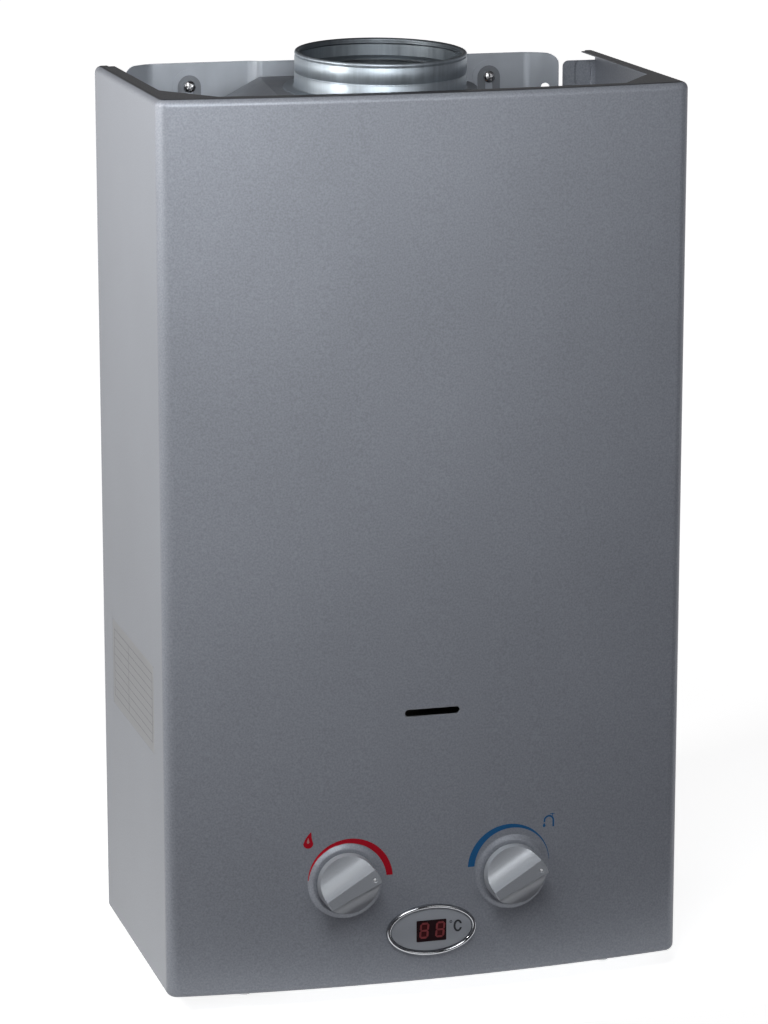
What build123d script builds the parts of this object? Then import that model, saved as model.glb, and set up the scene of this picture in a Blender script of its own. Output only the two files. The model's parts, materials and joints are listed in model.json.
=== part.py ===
from build123d import *

import os
from math import cos, radians, sin, sqrt

# Wall-hung gas water heater with a round flue collar, in millimetres.
# X runs to the right and Z up, the front faces -Y, and the wall is the plane Y = 0.
# The origin lies on the wall, midway between the two hanging keyholes.
# Heights in this file are measured from the casing's bottom edge, depths from the wall.

# Casing
casing_width = 340.0
casing_height = 570.0
casing_depth = 185.0
front_bow = 12.0
casing_gap = 1.0
sheet = 0.8
corner_radius = 7.0
edge_radius = 4.5
lip_width = 12.0
bottom_lip = 10.0
bottom_front_lip = 14.0
casing_screw_x = 120.0
casing_screw_depth = 181.5
gusset_along_front = 40.0
gusset_along_side = 47.0
rear_flange = 23.5
rear_flange_top = 563.5

# Controls on the front
gas_knob_x, gas_knob_height = -56.6, 72.2
water_knob_x, water_knob_height = 53.4, 68.8
knob_radius = 19.4
knob_draft = 2.3
knob_proud = 19.2
knob_skirt = 6.0
knob_pointer_angle = 29.0
knob_ridge_lean = 3.2
knob_lift = 0.6
boss_radius = 21.6
boss_foot = 25.2
boss_front = 197.6
slot_height = 179.5
slot_length = 36.0
slot_width = 4.6
display_x, display_height = -0.5, 35.2
display_width = 59.4
display_tall = 34.0
display_proud = 2.6

# Chassis behind the casing, a little left of the casing's middle
chassis_x = -6.5
plate_thickness = 1.0
plate_half = 128.0
plate_bottom = 9.0
plate_top = 570.0
wing_reach = 18.5
wing_corner = 8.0
wing_forward = 13.0
channel_half = 59.5
channel_step = 4.0
hang_height = 500.0
keyhole_spacing = 150.0
keyhole_radius = 5.5
keyhole_slot = 5.0
fixing_spacing = 220.0
fixing_height = 30.0
fixing_radius = 3.0

# Flue hood and collar
hood_top = 559.0
hood_shoulder = 534.0
hood_bottom = 500.0
hood_half = 111.5
hood_crest_half = 63.5
hood_back = 18.0
hood_front = 168.0
hood_crest_front = 136.0
tab_half = 7.6
tab_top = 562.0
tab_spread = 101.5
hood_screw_height = 554.7
pad_front = 1.6
collar_depth = 75.0
collar_radius = 55.0
collar_rise = 24.0
collar_lean = 2.5
collar_wall = 1.0
rim_radius = 1.5

# Heat exchanger, chamber and burner share one footprint
core_half = 90.0
core_back = 35.0
core_front = 150.0
exchanger_bottom = 440.0
chamber_bottom = 180.0
burner_bottom = 138.0
blade_count = 11
blade_pitch = 15.5
fin_count = 12
coil_heights = (224.0, 350.0)

tube_depths = (131.0, 104.0, 77.0, 50.0)
tube_height = 468.0
tube_radius = 8.0
coil_radius = 6.0
coil_offset = 9.0

# Valve group: one push rod along X joins the water side to the gas side
rod_depth = 118.0
rod_height = 98.0
rod_radius = 2.5
gas_left, gas_right = -86.0, -15.0
membrane_x = 20.0
membrane_radius = 33.0
water_right = 102.0
spindle_radius = 4.0
run_gap = 0.05

# Connections under the casing
nipple_radius = 10.475
nipple_bore = 5.0
nipple_bottom = -13.0
filter_top = 1.0
gas_inlet_at = (-68.0, rod_depth)
cold_inlet_at = (82.0, rod_depth)
hot_outlet_at = (40.0, 50.0)
drain_at = (62.0, 128.0)
tray_height = 1.2
tray_sheet = 1.0
battery_box_x = (-158.0, -88.0)
battery_box_depth = (125.0, 163.0)
battery_box_top = 68.0
cell_radius = 16.2
cell_spacing = 33.4
lid_axis = (-155.0, -2.6)

front_radius = (front_bow**2 + (casing_width / 2) ** 2) / (2 * front_bow)
knob_places = ((gas_knob_x, gas_knob_height), (water_knob_x, water_knob_height))
core_left = chassis_x - core_half
core_right = chassis_x + core_half


# Frames of reference

def front_depth(x, inset=0.0):
    """Distance from the wall to the bowed front panel at this x."""
    middle = casing_depth + front_bow - front_radius
    return middle + sqrt((front_radius - inset) ** 2 - x**2)


def level(height):
    """Level plane this far above the casing's bottom edge."""
    return Plane((0, 0, height - hang_height), x_dir=(1, 0, 0), z_dir=(0, 0, 1))


def facing(depth):
    """Upright plane that looks to the front: (x, height), grows forwards."""
    return Plane((0, -depth, -hang_height), x_dir=(1, 0, 0), z_dir=(0, -1, 0))


def across(x):
    """Upright plane that looks to the left: (depth, height), grows to the left."""
    return Plane((x, 0, -hang_height), x_dir=(0, -1, 0), z_dir=(-1, 0, 0))


def point(x, depth, height):
    """A place in the part's own frame."""
    return (x, -depth, height - hang_height)


def crest(rise=0.0):
    """The hood's crest, which leans forward a little, or a plane above it."""
    lean = radians(collar_lean)
    foot = Vector(*point(0, collar_depth, hood_top))
    normal = Vector(0, -sin(lean), cos(lean))
    return Plane(foot + normal * rise, x_dir=(1, 0, 0), z_dir=normal)


# Forms that many pieces share

def slab(x_range, depth_range, height_range, mode=Mode.ADD):
    """Straight block between three pairs of limits."""
    (x0, x1), (d0, d1), (h0, h1) = x_range, depth_range, height_range
    with BuildSketch(level(h0)) as face:
        with Locations(((x0 + x1) / 2, -(d0 + d1) / 2)):
            Rectangle(x1 - x0, d1 - d0)
    extrude(face.sketch, amount=h1 - h0, mode=mode)


def post(x, depth, h0, h1, radius, mode=Mode.ADD):
    """Upright round bar."""
    with BuildSketch(level(h0)) as face:
        with Locations((x, -depth)):
            Circle(radius)
    extrude(face.sketch, amount=h1 - h0, mode=mode)


def stub(x, height, d0, d1, radius, mode=Mode.ADD):
    """Round bar that points to the front."""
    with BuildSketch(facing(d0)) as face:
        with Locations((x, height)):
            Circle(radius)
    extrude(face.sketch, amount=d1 - d0, mode=mode)


def rod(depth, height, x0, x1, radius, mode=Mode.ADD):
    """Round bar that lies from left to right."""
    with BuildSketch(across(x1)) as face:
        with Locations((depth, height)):
            Circle(radius)
    extrude(face.sketch, amount=x1 - x0, mode=mode)


def hexagon(x, depth, h0, h1, flats, mode=Mode.ADD):
    """Upright hexagon, given by its width across flats."""
    with BuildSketch(level(h0)) as face:
        with Locations((x, -depth)):
            RegularPolygon(flats / 2, 6, major_radius=False)
    extrude(face.sketch, amount=h1 - h0, mode=mode)


def pipe(route, bend, radius, mode=Mode.ADD):
    """Round bar along straight runs joined by bends of one radius."""
    with BuildLine() as path:
        FilletPolyline(*[point(*place) for place in route], radius=bend)
    with BuildSketch(Plane(path.line @ 0, z_dir=path.line % 0)) as face:
        Circle(radius)
    sweep(face.sketch, path=path.line, mode=mode)


def keep(builder, name):
    """Name a finished piece and write it."""
    builder.part.label = name
    export_step(builder.part, "parts/" + name + ".step")


os.makedirs("parts", exist_ok=True)


# Casing

def casing_block(inset):
    """Solid as large as the casing with every face drawn in by the inset."""
    half = casing_width / 2 - inset
    front = front_depth(half, inset)
    apex = casing_depth + front_bow - inset
    with BuildPart() as block:
        with BuildSketch(level(inset)):
            with BuildLine():
                Polyline((-half, -front), (-half, -casing_gap), (half, -casing_gap), (half, -front))
                ThreePointArc((half, -front), (0, -apex), (-half, -front))
            make_face()
        extrude(amount=casing_height - 2 * inset)
        uprights = block.edges().filter_by(Axis.Z).group_by(Axis.Y)[0]
        fillet(uprights, radius=corner_radius - inset)
        level_faces = block.faces().filter_by(Axis.Z)
        rear_edges = block.edges().filter_by(Axis.X).group_by(Axis.Y)[-1]
        rims = level_faces.edges() - rear_edges
        fillet(rims, radius=edge_radius - inset)
        # A pressed boss under each knob: flat top, hollow flank that runs out into the panel
        top = boss_front - inset
        rim, foot = boss_radius - inset, boss_foot - inset
        for x, height in knob_places:
            with BuildSketch(Plane(point(x, 0, height), x_dir=(1, 0, 0), z_dir=(0, 0, 1))):
                with BuildLine():
                    Polyline((0, -top + 12.0), (0, -top), (rim, -top))
                    RadiusArc((rim, -top), (foot, -top + 3.4), -5.0)
                    Polyline((foot, -top + 3.4), (foot, -top + 12.0), (0, -top + 12.0))
                make_face()
            revolve(axis=Axis((x, 0, height - hang_height), (0, 1, 0)))
    return block.part


casing_cavity = casing_block(sheet)

with BuildPart() as front_cover:
    add(casing_block(0.0))
    add(casing_cavity, mode=Mode.SUBTRACT)
    # Open back, with an upright flange turned in along each side
    half_inside = casing_width / 2 - sheet
    slab((-half_inside, half_inside), (0, 3 * edge_radius), (edge_radius, 566.0), mode=Mode.SUBTRACT)
    for side in (-1, 1):
        outer = side * (casing_width / 2 - sheet)
        inner = side * (casing_width / 2 - rear_flange)
        with BuildSketch(facing(casing_gap)):
            with BuildLine():
                FilletPolyline(
                    (outer, rear_flange_top),
                    (inner, rear_flange_top),
                    (inner, edge_radius),
                    (outer, edge_radius),
                    radius=4.0,
                )
                Line((outer, edge_radius), (outer, rear_flange_top))
            make_face()
        extrude(amount=2 * sheet)
        with BuildSketch(facing(casing_gap + 1.2 * sheet)):
            for height in (555.0, 285.0, 20.0):
                with Locations((side * (casing_width / 2 - 9.5), height)):
                    SlotOverall(20.0, 11.0, rotation=90)
        extrude(amount=sheet, mode=Mode.SUBTRACT)
        # Side wall behind the shell's rounded rear edge
        wall = (outer, outer + side * sheet) if side > 0 else (outer - sheet, outer)
        slab(wall, (casing_gap, 4 * edge_radius), (edge_radius, 566.0))
    # Open top with a lip all round and a gusset across each front corner
    side_lip = casing_width / 2 - lip_width
    lip_corner = casing_width / 2 - gusset_along_front
    lip_front = front_depth(lip_corner) - lip_width
    lip_middle = casing_depth + front_bow - lip_width
    gusset_back = casing_depth - gusset_along_side
    with BuildSketch(level(casing_height - 3 * sheet)):
        with BuildLine():
            Polyline(
                (-lip_corner, -lip_front),
                (-side_lip, -gusset_back),
                (-side_lip, -12.0),
                (-side_lip - 4.0, -5.0),
                (-side_lip - 4.0, 1.0),
                (side_lip + 4.0, 1.0),
                (side_lip + 4.0, -5.0),
                (side_lip, -12.0),
                (side_lip, -gusset_back),
                (lip_corner, -lip_front),
            )
            ThreePointArc((lip_corner, -lip_front), (0, -lip_middle), (-lip_corner, -lip_front))
        make_face()
    extrude(amount=5 * sheet, mode=Mode.SUBTRACT)
    # Open bottom with a narrower lip
    with BuildSketch(level(-sheet)):
        with BuildLine():
            side_edge = casing_width / 2 - bottom_lip
            front_edge = casing_depth - bottom_front_lip
            Polyline((-side_edge, -front_edge), (-side_edge, 1.0), (side_edge, 1.0), (side_edge, -front_edge))
            ThreePointArc((side_edge, -front_edge), (0, -front_edge - front_bow), (-side_edge, -front_edge))
        make_face()
    extrude(amount=3 * sheet, mode=Mode.SUBTRACT)
    # View slot, knob holes and the display's opening
    with BuildSketch(facing(casing_depth - 4.0)):
        with Locations((0, slot_height)):
            SlotOverall(slot_length, slot_width)
        with Locations((display_x, display_height)):
            Ellipse(display_width / 2 - 3.0, display_tall / 2 - 3.0)
        with Locations(*knob_places):
            Circle(7.0)
    extrude(amount=20.0, mode=Mode.SUBTRACT)
    for x in (-casing_screw_x, casing_screw_x):
        post(x, casing_screw_depth, -sheet, 2 * sheet, 2.2, mode=Mode.SUBTRACT)
keep(front_cover, "front_cover")


# Chassis

with BuildPart() as back_plate:
    half_path = [
        (channel_half - channel_step, channel_step),
        (channel_half, 0.0),
        (plate_half, 0.0),
        (plate_half + wing_reach, wing_forward),
    ]
    with BuildSketch(level(plate_bottom)):
        with BuildLine():
            left_path = [(chassis_x - x, -depth) for x, depth in half_path[::-1]]
            right_path = [(chassis_x + x, -depth) for x, depth in half_path]
            Polyline(*(left_path + right_path))
            offset(amount=plate_thickness, side=Side.RIGHT, kind=Kind.INTERSECTION)
        make_face()
    extrude(amount=plate_top - plate_bottom)
    # Wings rounded at the top and bottom, seen from the front
    for side in (-1, 1):
        tip = chassis_x + side * (plate_half + wing_reach)
        for height, turn in ((plate_top, -1), (plate_bottom, 1)):
            with BuildSketch(facing(-2.0)):
                with Locations((tip, height)):
                    Rectangle(2 * wing_corner, 2 * wing_corner)
                with Locations((tip - side * wing_corner, height + turn * wing_corner)):
                    Circle(wing_corner, mode=Mode.SUBTRACT)
            extrude(amount=wing_forward + 6, mode=Mode.SUBTRACT)
    # Pads under the hood's two screws
    for side in (-1, 1):
        stub(chassis_x + side * tab_spread, hood_screw_height, plate_thickness, pad_front, 11.0)
        stub(chassis_x + side * tab_spread, hood_screw_height, -1.0, pad_front + 1, 2.05, Mode.SUBTRACT)
    # Keyholes, fixing holes and wing holes
    with BuildSketch(facing(-1.0)):
        for side in (-1, 1):
            with Locations((side * keyhole_spacing / 2, hang_height)):
                Circle(keyhole_radius)
            with Locations((side * keyhole_spacing / 2, hang_height + 6.0)):
                SlotOverall(12.0 + keyhole_slot, keyhole_slot, rotation=90)
            with Locations((side * fixing_spacing / 2, fixing_height)):
                Circle(fixing_radius)
    extrude(amount=4.0, mode=Mode.SUBTRACT)
    with BuildSketch(facing(-1.0)):
        for side in (-1, 1):
            with Locations((chassis_x + side * (plate_half + 0.58 * wing_reach), 543.0)):
                SlotOverall(14.0, 5.0, rotation=90)
    extrude(amount=wing_forward + 4.0, mode=Mode.SUBTRACT)
keep(back_plate, "back_plate")


with BuildPart() as bottom_tray:
    tray_half = casing_width / 2 - 4.5
    tray_front = casing_depth - 4.5
    tray_back = plate_thickness + channel_step + 0.2
    with BuildSketch(level(tray_height)):
        with BuildLine():
            Polyline(
                (-tray_half, -tray_front),
                (-tray_half, -tray_back),
                (tray_half, -tray_back),
                (tray_half, -tray_front),
            )
            ThreePointArc((tray_half, -tray_front), (0, -tray_front - front_bow), (-tray_half, -tray_front))
        make_face()
    extrude(amount=tray_sheet)
    # Two tabs up the back plate, clear of its raised channel
    for x0, x1 in ((-128.0, -80.0), (64.0, 112.0)):
        slab((x0, x1), (plate_thickness, tray_back + 1.0), (tray_height, tray_height + tray_sheet))
        slab((x0, x1), (plate_thickness, plate_thickness + tray_sheet), (tray_height, 22.0))
    for x, depth in (gas_inlet_at, cold_inlet_at, hot_outlet_at):
        post(x, depth, 0, 20, 12.0, Mode.SUBTRACT)
    post(*drain_at, 0, 20, 9.0, Mode.SUBTRACT)
    slab(battery_box_x, battery_box_depth, (0, 20), Mode.SUBTRACT)
    for x in (-casing_screw_x, casing_screw_x):
        post(x, casing_screw_depth, 0, 20, 2.05, Mode.SUBTRACT)
    # Air slots
    with BuildSketch(level(0)):
        for x in (-100.0, 0.0, 110.0):
            for step in range(4):
                with Locations((x + 11.0 * (step - 1.5), -60.0 - 20.0 * (x > 100))):
                    Rectangle(5.0, 44.0)
    extrude(amount=20.0, mode=Mode.SUBTRACT)
keep(bottom_tray, "bottom_tray")


# Flue

with BuildPart() as draft_hood:
    with BuildSketch(facing(hood_back)):
        Polygon(
            (chassis_x - hood_half, hood_bottom),
            (chassis_x + hood_half, hood_bottom),
            (chassis_x + hood_half, hood_shoulder),
            (chassis_x + hood_crest_half - 7.5, hood_top + 4.0),
            (chassis_x - hood_crest_half + 7.5, hood_top + 4.0),
            (chassis_x - hood_half, hood_shoulder),
            align=None,
        )
    extrude(amount=hood_front - hood_back)
    with BuildSketch(crest()):
        Rectangle(4 * hood_half, 4 * hood_half)
    extrude(amount=10.0, mode=Mode.SUBTRACT)
    with BuildSketch(across(chassis_x + hood_half + 1)):
        Polygon(
            (hood_front, hood_shoulder),
            (hood_front, hood_top + 6.0),
            (hood_crest_front - 4.0, hood_top + 6.0),
            (hood_crest_front, hood_top - 2.7),
            align=None,
        )
    extrude(amount=2 * hood_half + 2, mode=Mode.SUBTRACT)
    offset(amount=-sheet, openings=draft_hood.faces().sort_by(Axis.Z)[0])
    with BuildSketch(crest(-5.0)):
        Circle(collar_radius - 5.0)
    extrude(amount=6.0, mode=Mode.SUBTRACT)
    for x in (-57.0, 44.0):
        slab((x - 42.0, x + 42.0), (hood_back - 1, hood_back + 1), (505.0, 527.0), Mode.SUBTRACT)
    # Tabs that reach back to the plate and stand up behind their screws
    tab_back, tab_front = pad_front, pad_front + sheet
    for side in (-1, 1):
        x = chassis_x + side * tab_spread
        tab_base = 530.0
        slab((x - tab_half, x + tab_half), (tab_back, hood_back + sheet / 2), (tab_base, tab_base + sheet))
        with BuildSketch(facing(tab_back)) as tab:
            with Locations((x, (tab_base + tab_top - tab_half) / 2)):
                Rectangle(2 * tab_half, tab_top - tab_half - tab_base)
            with Locations((x, tab_top - tab_half)):
                Circle(tab_half)
            with Locations((x, 546.5)):
                SlotOverall(21.0, 5.0, rotation=90, mode=Mode.SUBTRACT)
        extrude(amount=sheet)
keep(draft_hood, "draft_hood")

with BuildPart() as flue_collar:
    lean = radians(collar_lean)
    inner = collar_radius - collar_wall
    rim_centre = collar_rise - rim_radius
    crease, ledge = 11.0, collar_radius - 6.5
    # Section through the collar: (distance from its axis, height above the crest)
    section = Plane(crest().origin, x_dir=(1, 0, 0), z_dir=(0, -cos(lean), -sin(lean)))
    with BuildSketch(section):
        with BuildLine():
            Polyline((50.5, 0), (62.0, 0), (62.0, sheet), (collar_radius + 1.2, sheet))
            RadiusArc((collar_radius + 1.2, sheet), (collar_radius, sheet + 1.2), 1.2)
            Line((collar_radius, sheet + 1.2), (collar_radius, rim_centre))
            ThreePointArc((collar_radius, rim_centre), (collar_radius - rim_radius, collar_rise),
                          (collar_radius - 2 * rim_radius, rim_centre))
            Line((collar_radius - 2 * rim_radius, rim_centre), (inner, rim_centre - rim_radius))
            Polyline((inner, rim_centre - rim_radius), (inner, crease), (ledge, crease))
            Polyline((ledge, crease), (ledge, crease - sheet), (inner, crease - sheet), (inner, sheet))
            Polyline((inner, sheet), (50.5, sheet), (50.5, 0))
        make_face()
    revolve(axis=Axis(crest().origin, crest().z_dir))
keep(flue_collar, "flue_collar")

with BuildPart() as hood_baffle:
    baffle_half = hood_half - sheet
    with BuildSketch(facing(60.0)):
        with BuildLine():
            half_fold = [(baffle_half, 526.0), (baffle_half, 516.0), (40.0, 510.0)]
            left_fold = [(chassis_x - x, height) for x, height in half_fold]
            right_fold = [(chassis_x + x, height) for x, height in half_fold[::-1]]
            Polyline(*(left_fold + right_fold))
            offset(amount=sheet, side=Side.LEFT, kind=Kind.INTERSECTION)
        make_face()
    extrude(amount=60.0)
keep(hood_baffle, "hood_baffle")

with BuildPart() as hood_screws:
    for side in (-1, 1):
        x = chassis_x + side * tab_spread
        stub(x, hood_screw_height, 0.2, pad_front + sheet, 2.0)
        stub(x, hood_screw_height, pad_front + sheet, pad_front + sheet + 2.8, 3.8)
    heads = hood_screws.edges().filter_by(GeomType.CIRCLE).group_by(Axis.Y)[0]
    fillet(heads, radius=2.0)
keep(hood_screws, "hood_screws")

with BuildPart() as flue_sensor:
    rod(90.0, 518.0, chassis_x - hood_half - 3.0, chassis_x - hood_half, 9.0)
    rod(90.0, 518.0, chassis_x - hood_half - 9.0, chassis_x - hood_half - 3.0, 7.0)
keep(flue_sensor, "flue_sensor")


# Heat exchanger

with BuildPart() as exchanger_shell:
    hood_span = (chassis_x - hood_half, chassis_x + hood_half)
    slab(hood_span, (hood_back, hood_front), (hood_bottom - sheet, hood_bottom))
    slab((core_left, core_right), (core_back, core_front), (exchanger_bottom, hood_bottom))
    slab((core_left + sheet, core_right - sheet), (core_back + sheet, core_front - sheet),
         (exchanger_bottom - 1, hood_bottom + 1), Mode.SUBTRACT)
    for depth in tube_depths:
        rod(depth, tube_height, core_left - 1, core_right + 1, tube_radius + run_gap, Mode.SUBTRACT)
keep(exchanger_shell, "exchanger_shell")

with BuildPart() as exchanger_tube:
    far_left, far_right = core_left - 20.0, core_right + 20.0
    first, second, third, last = tube_depths
    pipe(
        [
            (core_right + 14.0, first, tube_height),
            (far_left, first, tube_height),
            (far_left, second, tube_height),
            (far_right, second, tube_height),
            (far_right, third, tube_height),
            (far_left, third, tube_height),
            (far_left, last, tube_height),
            (core_right + 14.0, last, tube_height),
        ],
        13.0,
        tube_radius,
    )
keep(exchanger_tube, "exchanger_tube")

with BuildPart() as fin_pack:
    fin_step = (2 * core_half - 10.0) / fin_count
    for number in range(fin_count):
        with BuildSketch(across(core_left + 5.0 + fin_step * (number + 0.5))):
            with Locations(((core_back + core_front) / 2, tube_height)):
                Rectangle(core_front - core_back - 2 * sheet, 46.0)
            with Locations(*[(depth, tube_height) for depth in tube_depths]):
                RegularPolygon(tube_radius + run_gap, 8, major_radius=False, mode=Mode.SUBTRACT)
        extrude(amount=0.6)
keep(fin_pack, "fin_pack")

with BuildPart() as overheat_switch:
    rod(90.0, 488.0, core_left - 2.0, core_left, 9.0)
    rod(90.0, 488.0, core_left - 8.0, core_left - 2.0, 7.0)
keep(overheat_switch, "overheat_switch")


# Combustion chamber and its water coil

electrode_x, flame_rod_x, probe_height = -38.0, 32.0, 189.0
with BuildPart() as chamber_shell:
    slab((core_left, core_right), (core_back, core_front), (chamber_bottom, exchanger_bottom))
    slab((core_left + sheet, core_right - sheet), (core_back + sheet, core_front - sheet),
         (chamber_bottom - 1, exchanger_bottom + 1), Mode.SUBTRACT)
    slab((-13.0, 13.0), (core_front - 2, core_front + 1), (184.0, 195.0), Mode.SUBTRACT)
    for x in (electrode_x, flame_rod_x):
        stub(x, probe_height, core_front - 2, core_front + 1, 3.4, Mode.SUBTRACT)
keep(chamber_shell, "chamber_shell")

with BuildPart() as sight_window:
    slab((-16.0, 16.0), (core_front, core_front + 1.2), (182.0, 197.0))
keep(sight_window, "sight_window")

with BuildPart() as chamber_coil:
    left, right = core_left - coil_offset, core_right + coil_offset
    back, front = core_back - coil_offset, core_front + coil_offset
    route = [(right, rod_depth, 125.0), (right, rod_depth, coil_heights[0])]
    for height in coil_heights:
        route += [(right, front, height), (left, front, height), (left, back, height)]
        if height != coil_heights[-1]:
            route.append((right, back, height))
    route += [
        (120.0, back, coil_heights[-1]),
        (120.0, first, 420.0),
        (120.0, first, tube_height),
        (core_right + 14.0, first, tube_height),
    ]
    pipe(route, 10.0, coil_radius)
keep(chamber_coil, "chamber_coil")

with BuildPart() as hot_pipe:
    hot_x, hot_depth = hot_outlet_at
    pipe(
        [
            (core_right + 14.0, last, tube_height),
            (138.0, last, tube_height),
            (138.0, last, 112.0),
            (hot_x, last, 112.0),
            (hot_x, last, 40.0),
        ],
        12.0,
        coil_radius,
    )
keep(hot_pipe, "hot_pipe")

with BuildPart() as temperature_probe:
    post(138.0, last, 205.0, 221.0, coil_radius + 2.0)
    rod(last, 213.0, 144.0, 158.0, 3.5)
    post(138.0, last, 200.0, 230.0, coil_radius, Mode.SUBTRACT)
keep(temperature_probe, "temperature_probe")


# Burner

blade_xs = [chassis_x + blade_pitch * (i - (blade_count - 1) / 2) for i in range(blade_count)]
injector_height = 148.0
with BuildPart() as burner_frame:
    slab((core_left, core_right), (core_back, core_front), (burner_bottom, chamber_bottom))
    slab((core_left + 1.2, core_right - 1.2), (core_back + 1.2, core_front - 1.2),
         (burner_bottom - 1, chamber_bottom + 1), Mode.SUBTRACT)
    with BuildSketch(facing(core_front - 2)):
        with Locations(*[(x, injector_height) for x in blade_xs]):
            Circle(4.6)
    extrude(amount=4.0, mode=Mode.SUBTRACT)
keep(burner_frame, "burner_frame")

with BuildPart() as burner_blades:
    rear, ahead = core_back + 1.2, core_front - 1.2
    for x in blade_xs:
        with BuildSketch(across(x + 4.0)):
            with BuildLine():
                Polyline((rear, 158.0), (rear, 176.0), (ahead, 176.0), (ahead, 160.0), (ahead - 3, 155.0),
                         (ahead - 3, 141.0), (ahead - 36, 141.0))
                ThreePointArc((ahead - 36, 141.0), (70.0, 146.0), (rear, 158.0))
            make_face()
        extrude(amount=8.0)
    # Flame slots across the top of every blade
    with BuildSketch(across(core_right)):
        with Locations(((rear + ahead) / 2, 176.0)):
            with GridLocations(13.0, 0, 8, 1):
                Rectangle(3.0, 8.0)
    extrude(amount=2 * core_half, mode=Mode.SUBTRACT)
keep(burner_blades, "burner_blades")

with BuildPart() as gas_manifold:
    manifold_back, manifold_front = core_front + 7.0, core_front + 19.0
    slab((core_left + 3, core_right - 3), (manifold_back, manifold_front), (141.0, 155.0))
    fillet(gas_manifold.edges().filter_by(Axis.X), radius=3.0)
    for x in (core_left + 3.0, core_right - 7.5):
        slab((x, x + 4.5), (core_front, manifold_back + 3.0), (143.0, 153.0))
keep(gas_manifold, "gas_manifold")

with BuildPart() as injectors:
    for x in blade_xs:
        stub(x, injector_height, core_front - 3.5, manifold_back, 2.6)
        stub(x, injector_height, manifold_back - 4.0, manifold_back, 4.0)
keep(injectors, "injectors")

with BuildPart() as gas_riser:
    riser_x = -64.0
    pipe([(riser_x, 145.0, 110.0), (riser_x, 163.0, 110.0), (riser_x, 163.0, 141.0)], 10.0, 6.5)
keep(gas_riser, "gas_riser")


def probe(x, reach):
    """Ceramic sleeve with its flange, needle and contact pin; the needle reaches into the chamber."""
    slab((x - 9.0, x + 9.0), (core_front, core_front + 1.2), (probe_height - 6.0, probe_height + 6.0))
    stub(x, probe_height, core_front - 6.0, core_front + 16.0, 3.0)
    stub(x, probe_height, core_front + 0.5, core_front + 5.0, 4.5)
    stub(x, probe_height, core_front - reach, core_front - 5.0, 0.9)
    stub(x, probe_height, core_front + 15.0, core_front + 20.0, 1.4)


with BuildPart() as spark_electrode:
    probe(electrode_x, 22.0)
keep(spark_electrode, "spark_electrode")

with BuildPart() as flame_rod:
    probe(flame_rod_x, 34.0)
keep(flame_rod, "flame_rod")

with BuildPart() as core_brackets:
    for side in (-1, 1):
        middle = chassis_x + 70.5 * side
        width = (middle - 7.0, middle + 7.0)
        for height in (150.0, 478.0):
            slab(width, (plate_thickness, core_back), (height, height + 1.2))
            slab(width, (plate_thickness, plate_thickness + 1.2), (height, height + 14.0))
            slab(width, (core_back - 1.2, core_back), (height, height + 14.0))
keep(core_brackets, "core_brackets")


# Valve group

with BuildPart() as gas_valve_body:
    slab((gas_left, gas_right), (95.0, 145.0), (60.0, 120.0))
    fillet(gas_valve_body.edges().filter_by(Axis.X), radius=6.0)
    stub(gas_knob_x, gas_knob_height, 145.0, 152.0, 14.0)
    post(*gas_inlet_at, 42.0, 66.0, 14.0)
    rod(rod_depth, rod_height, -36.0, gas_right + 1, rod_radius + run_gap, Mode.SUBTRACT)
    rod(rod_depth, rod_height, -70.0, -35.7, 13.0, Mode.SUBTRACT)
    rod(rod_depth, rod_height, -75.0, -69.0, 5.0, Mode.SUBTRACT)
    rod(rod_depth, rod_height, gas_left - 1, -74.0, 9.5, Mode.SUBTRACT)
    stub(gas_knob_x, gas_knob_height, 116.0, 153.0, 8.0 + run_gap, Mode.SUBTRACT)
keep(gas_valve_body, "gas_valve_body")

with BuildPart() as solenoid_body:
    rod(rod_depth, rod_height, -124.0, gas_left, 14.0)
    fillet(solenoid_body.edges().filter_by(GeomType.CIRCLE).sort_by(Axis.X)[0], radius=2.0)
    rod(rod_depth, rod_height, -120.0, gas_left + 1, 5.0 + run_gap, Mode.SUBTRACT)
keep(solenoid_body, "solenoid_body")

with BuildPart() as solenoid_plunger:
    rod(rod_depth, rod_height, -116.0, -77.5, 5.0)
    rod(rod_depth, rod_height, -77.5, -74.3, 8.5)
keep(solenoid_plunger, "solenoid_plunger")

with BuildPart() as push_rod:
    rod(rod_depth, rod_height, -36.1, 17.0, rod_radius)
    rod(rod_depth, rod_height, -7.0, -5.0, 6.0)
    rod(rod_depth, rod_height, 17.0, membrane_x - 0.3, 20.0)
    fillet(push_rod.edges().filter_by(GeomType.CIRCLE).group_by(Axis.X)[-1], radius=1.0)
keep(push_rod, "push_rod")

with BuildPart() as gas_valve_disc:
    rod(rod_depth, rod_height, -39.1, -36.1, 11.0)
    chamfer(gas_valve_disc.edges().group_by(Axis.X)[-1], length=1.0)
keep(gas_valve_disc, "gas_valve_disc")

with BuildPart() as valve_spring:
    spring_start, spring_end = -69.4, -39.8
    spring_length = spring_end - spring_start
    spring_turns = 4
    with BuildLine() as wire:
        Helix(
            pitch=spring_length / spring_turns,
            height=spring_length,
            radius=8.0,
            center=point(spring_start, rod_depth, rod_height),
            direction=(1, 0, 0),
        )
    with BuildSketch(Plane(wire.line @ 0, z_dir=wire.line % 0)):
        Rectangle(1.1, 1.1)
    sweep(path=wire.line, is_frenet=True)
keep(valve_spring, "valve_spring")

with BuildPart() as membrane_cover:
    rod(rod_depth, rod_height, 7.0, membrane_x, membrane_radius)
    fillet(membrane_cover.edges().filter_by(GeomType.CIRCLE).group_by(Axis.X)[0], radius=3.0)
    rod(rod_depth, rod_height, -3.0, 8.0, 12.0)
    rod(rod_depth, rod_height, 10.0, membrane_x + 1, 22.0, Mode.SUBTRACT)
    rod(rod_depth, rod_height, -4.0, 11.0, rod_radius + run_gap, Mode.SUBTRACT)
keep(membrane_cover, "membrane_cover")

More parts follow.
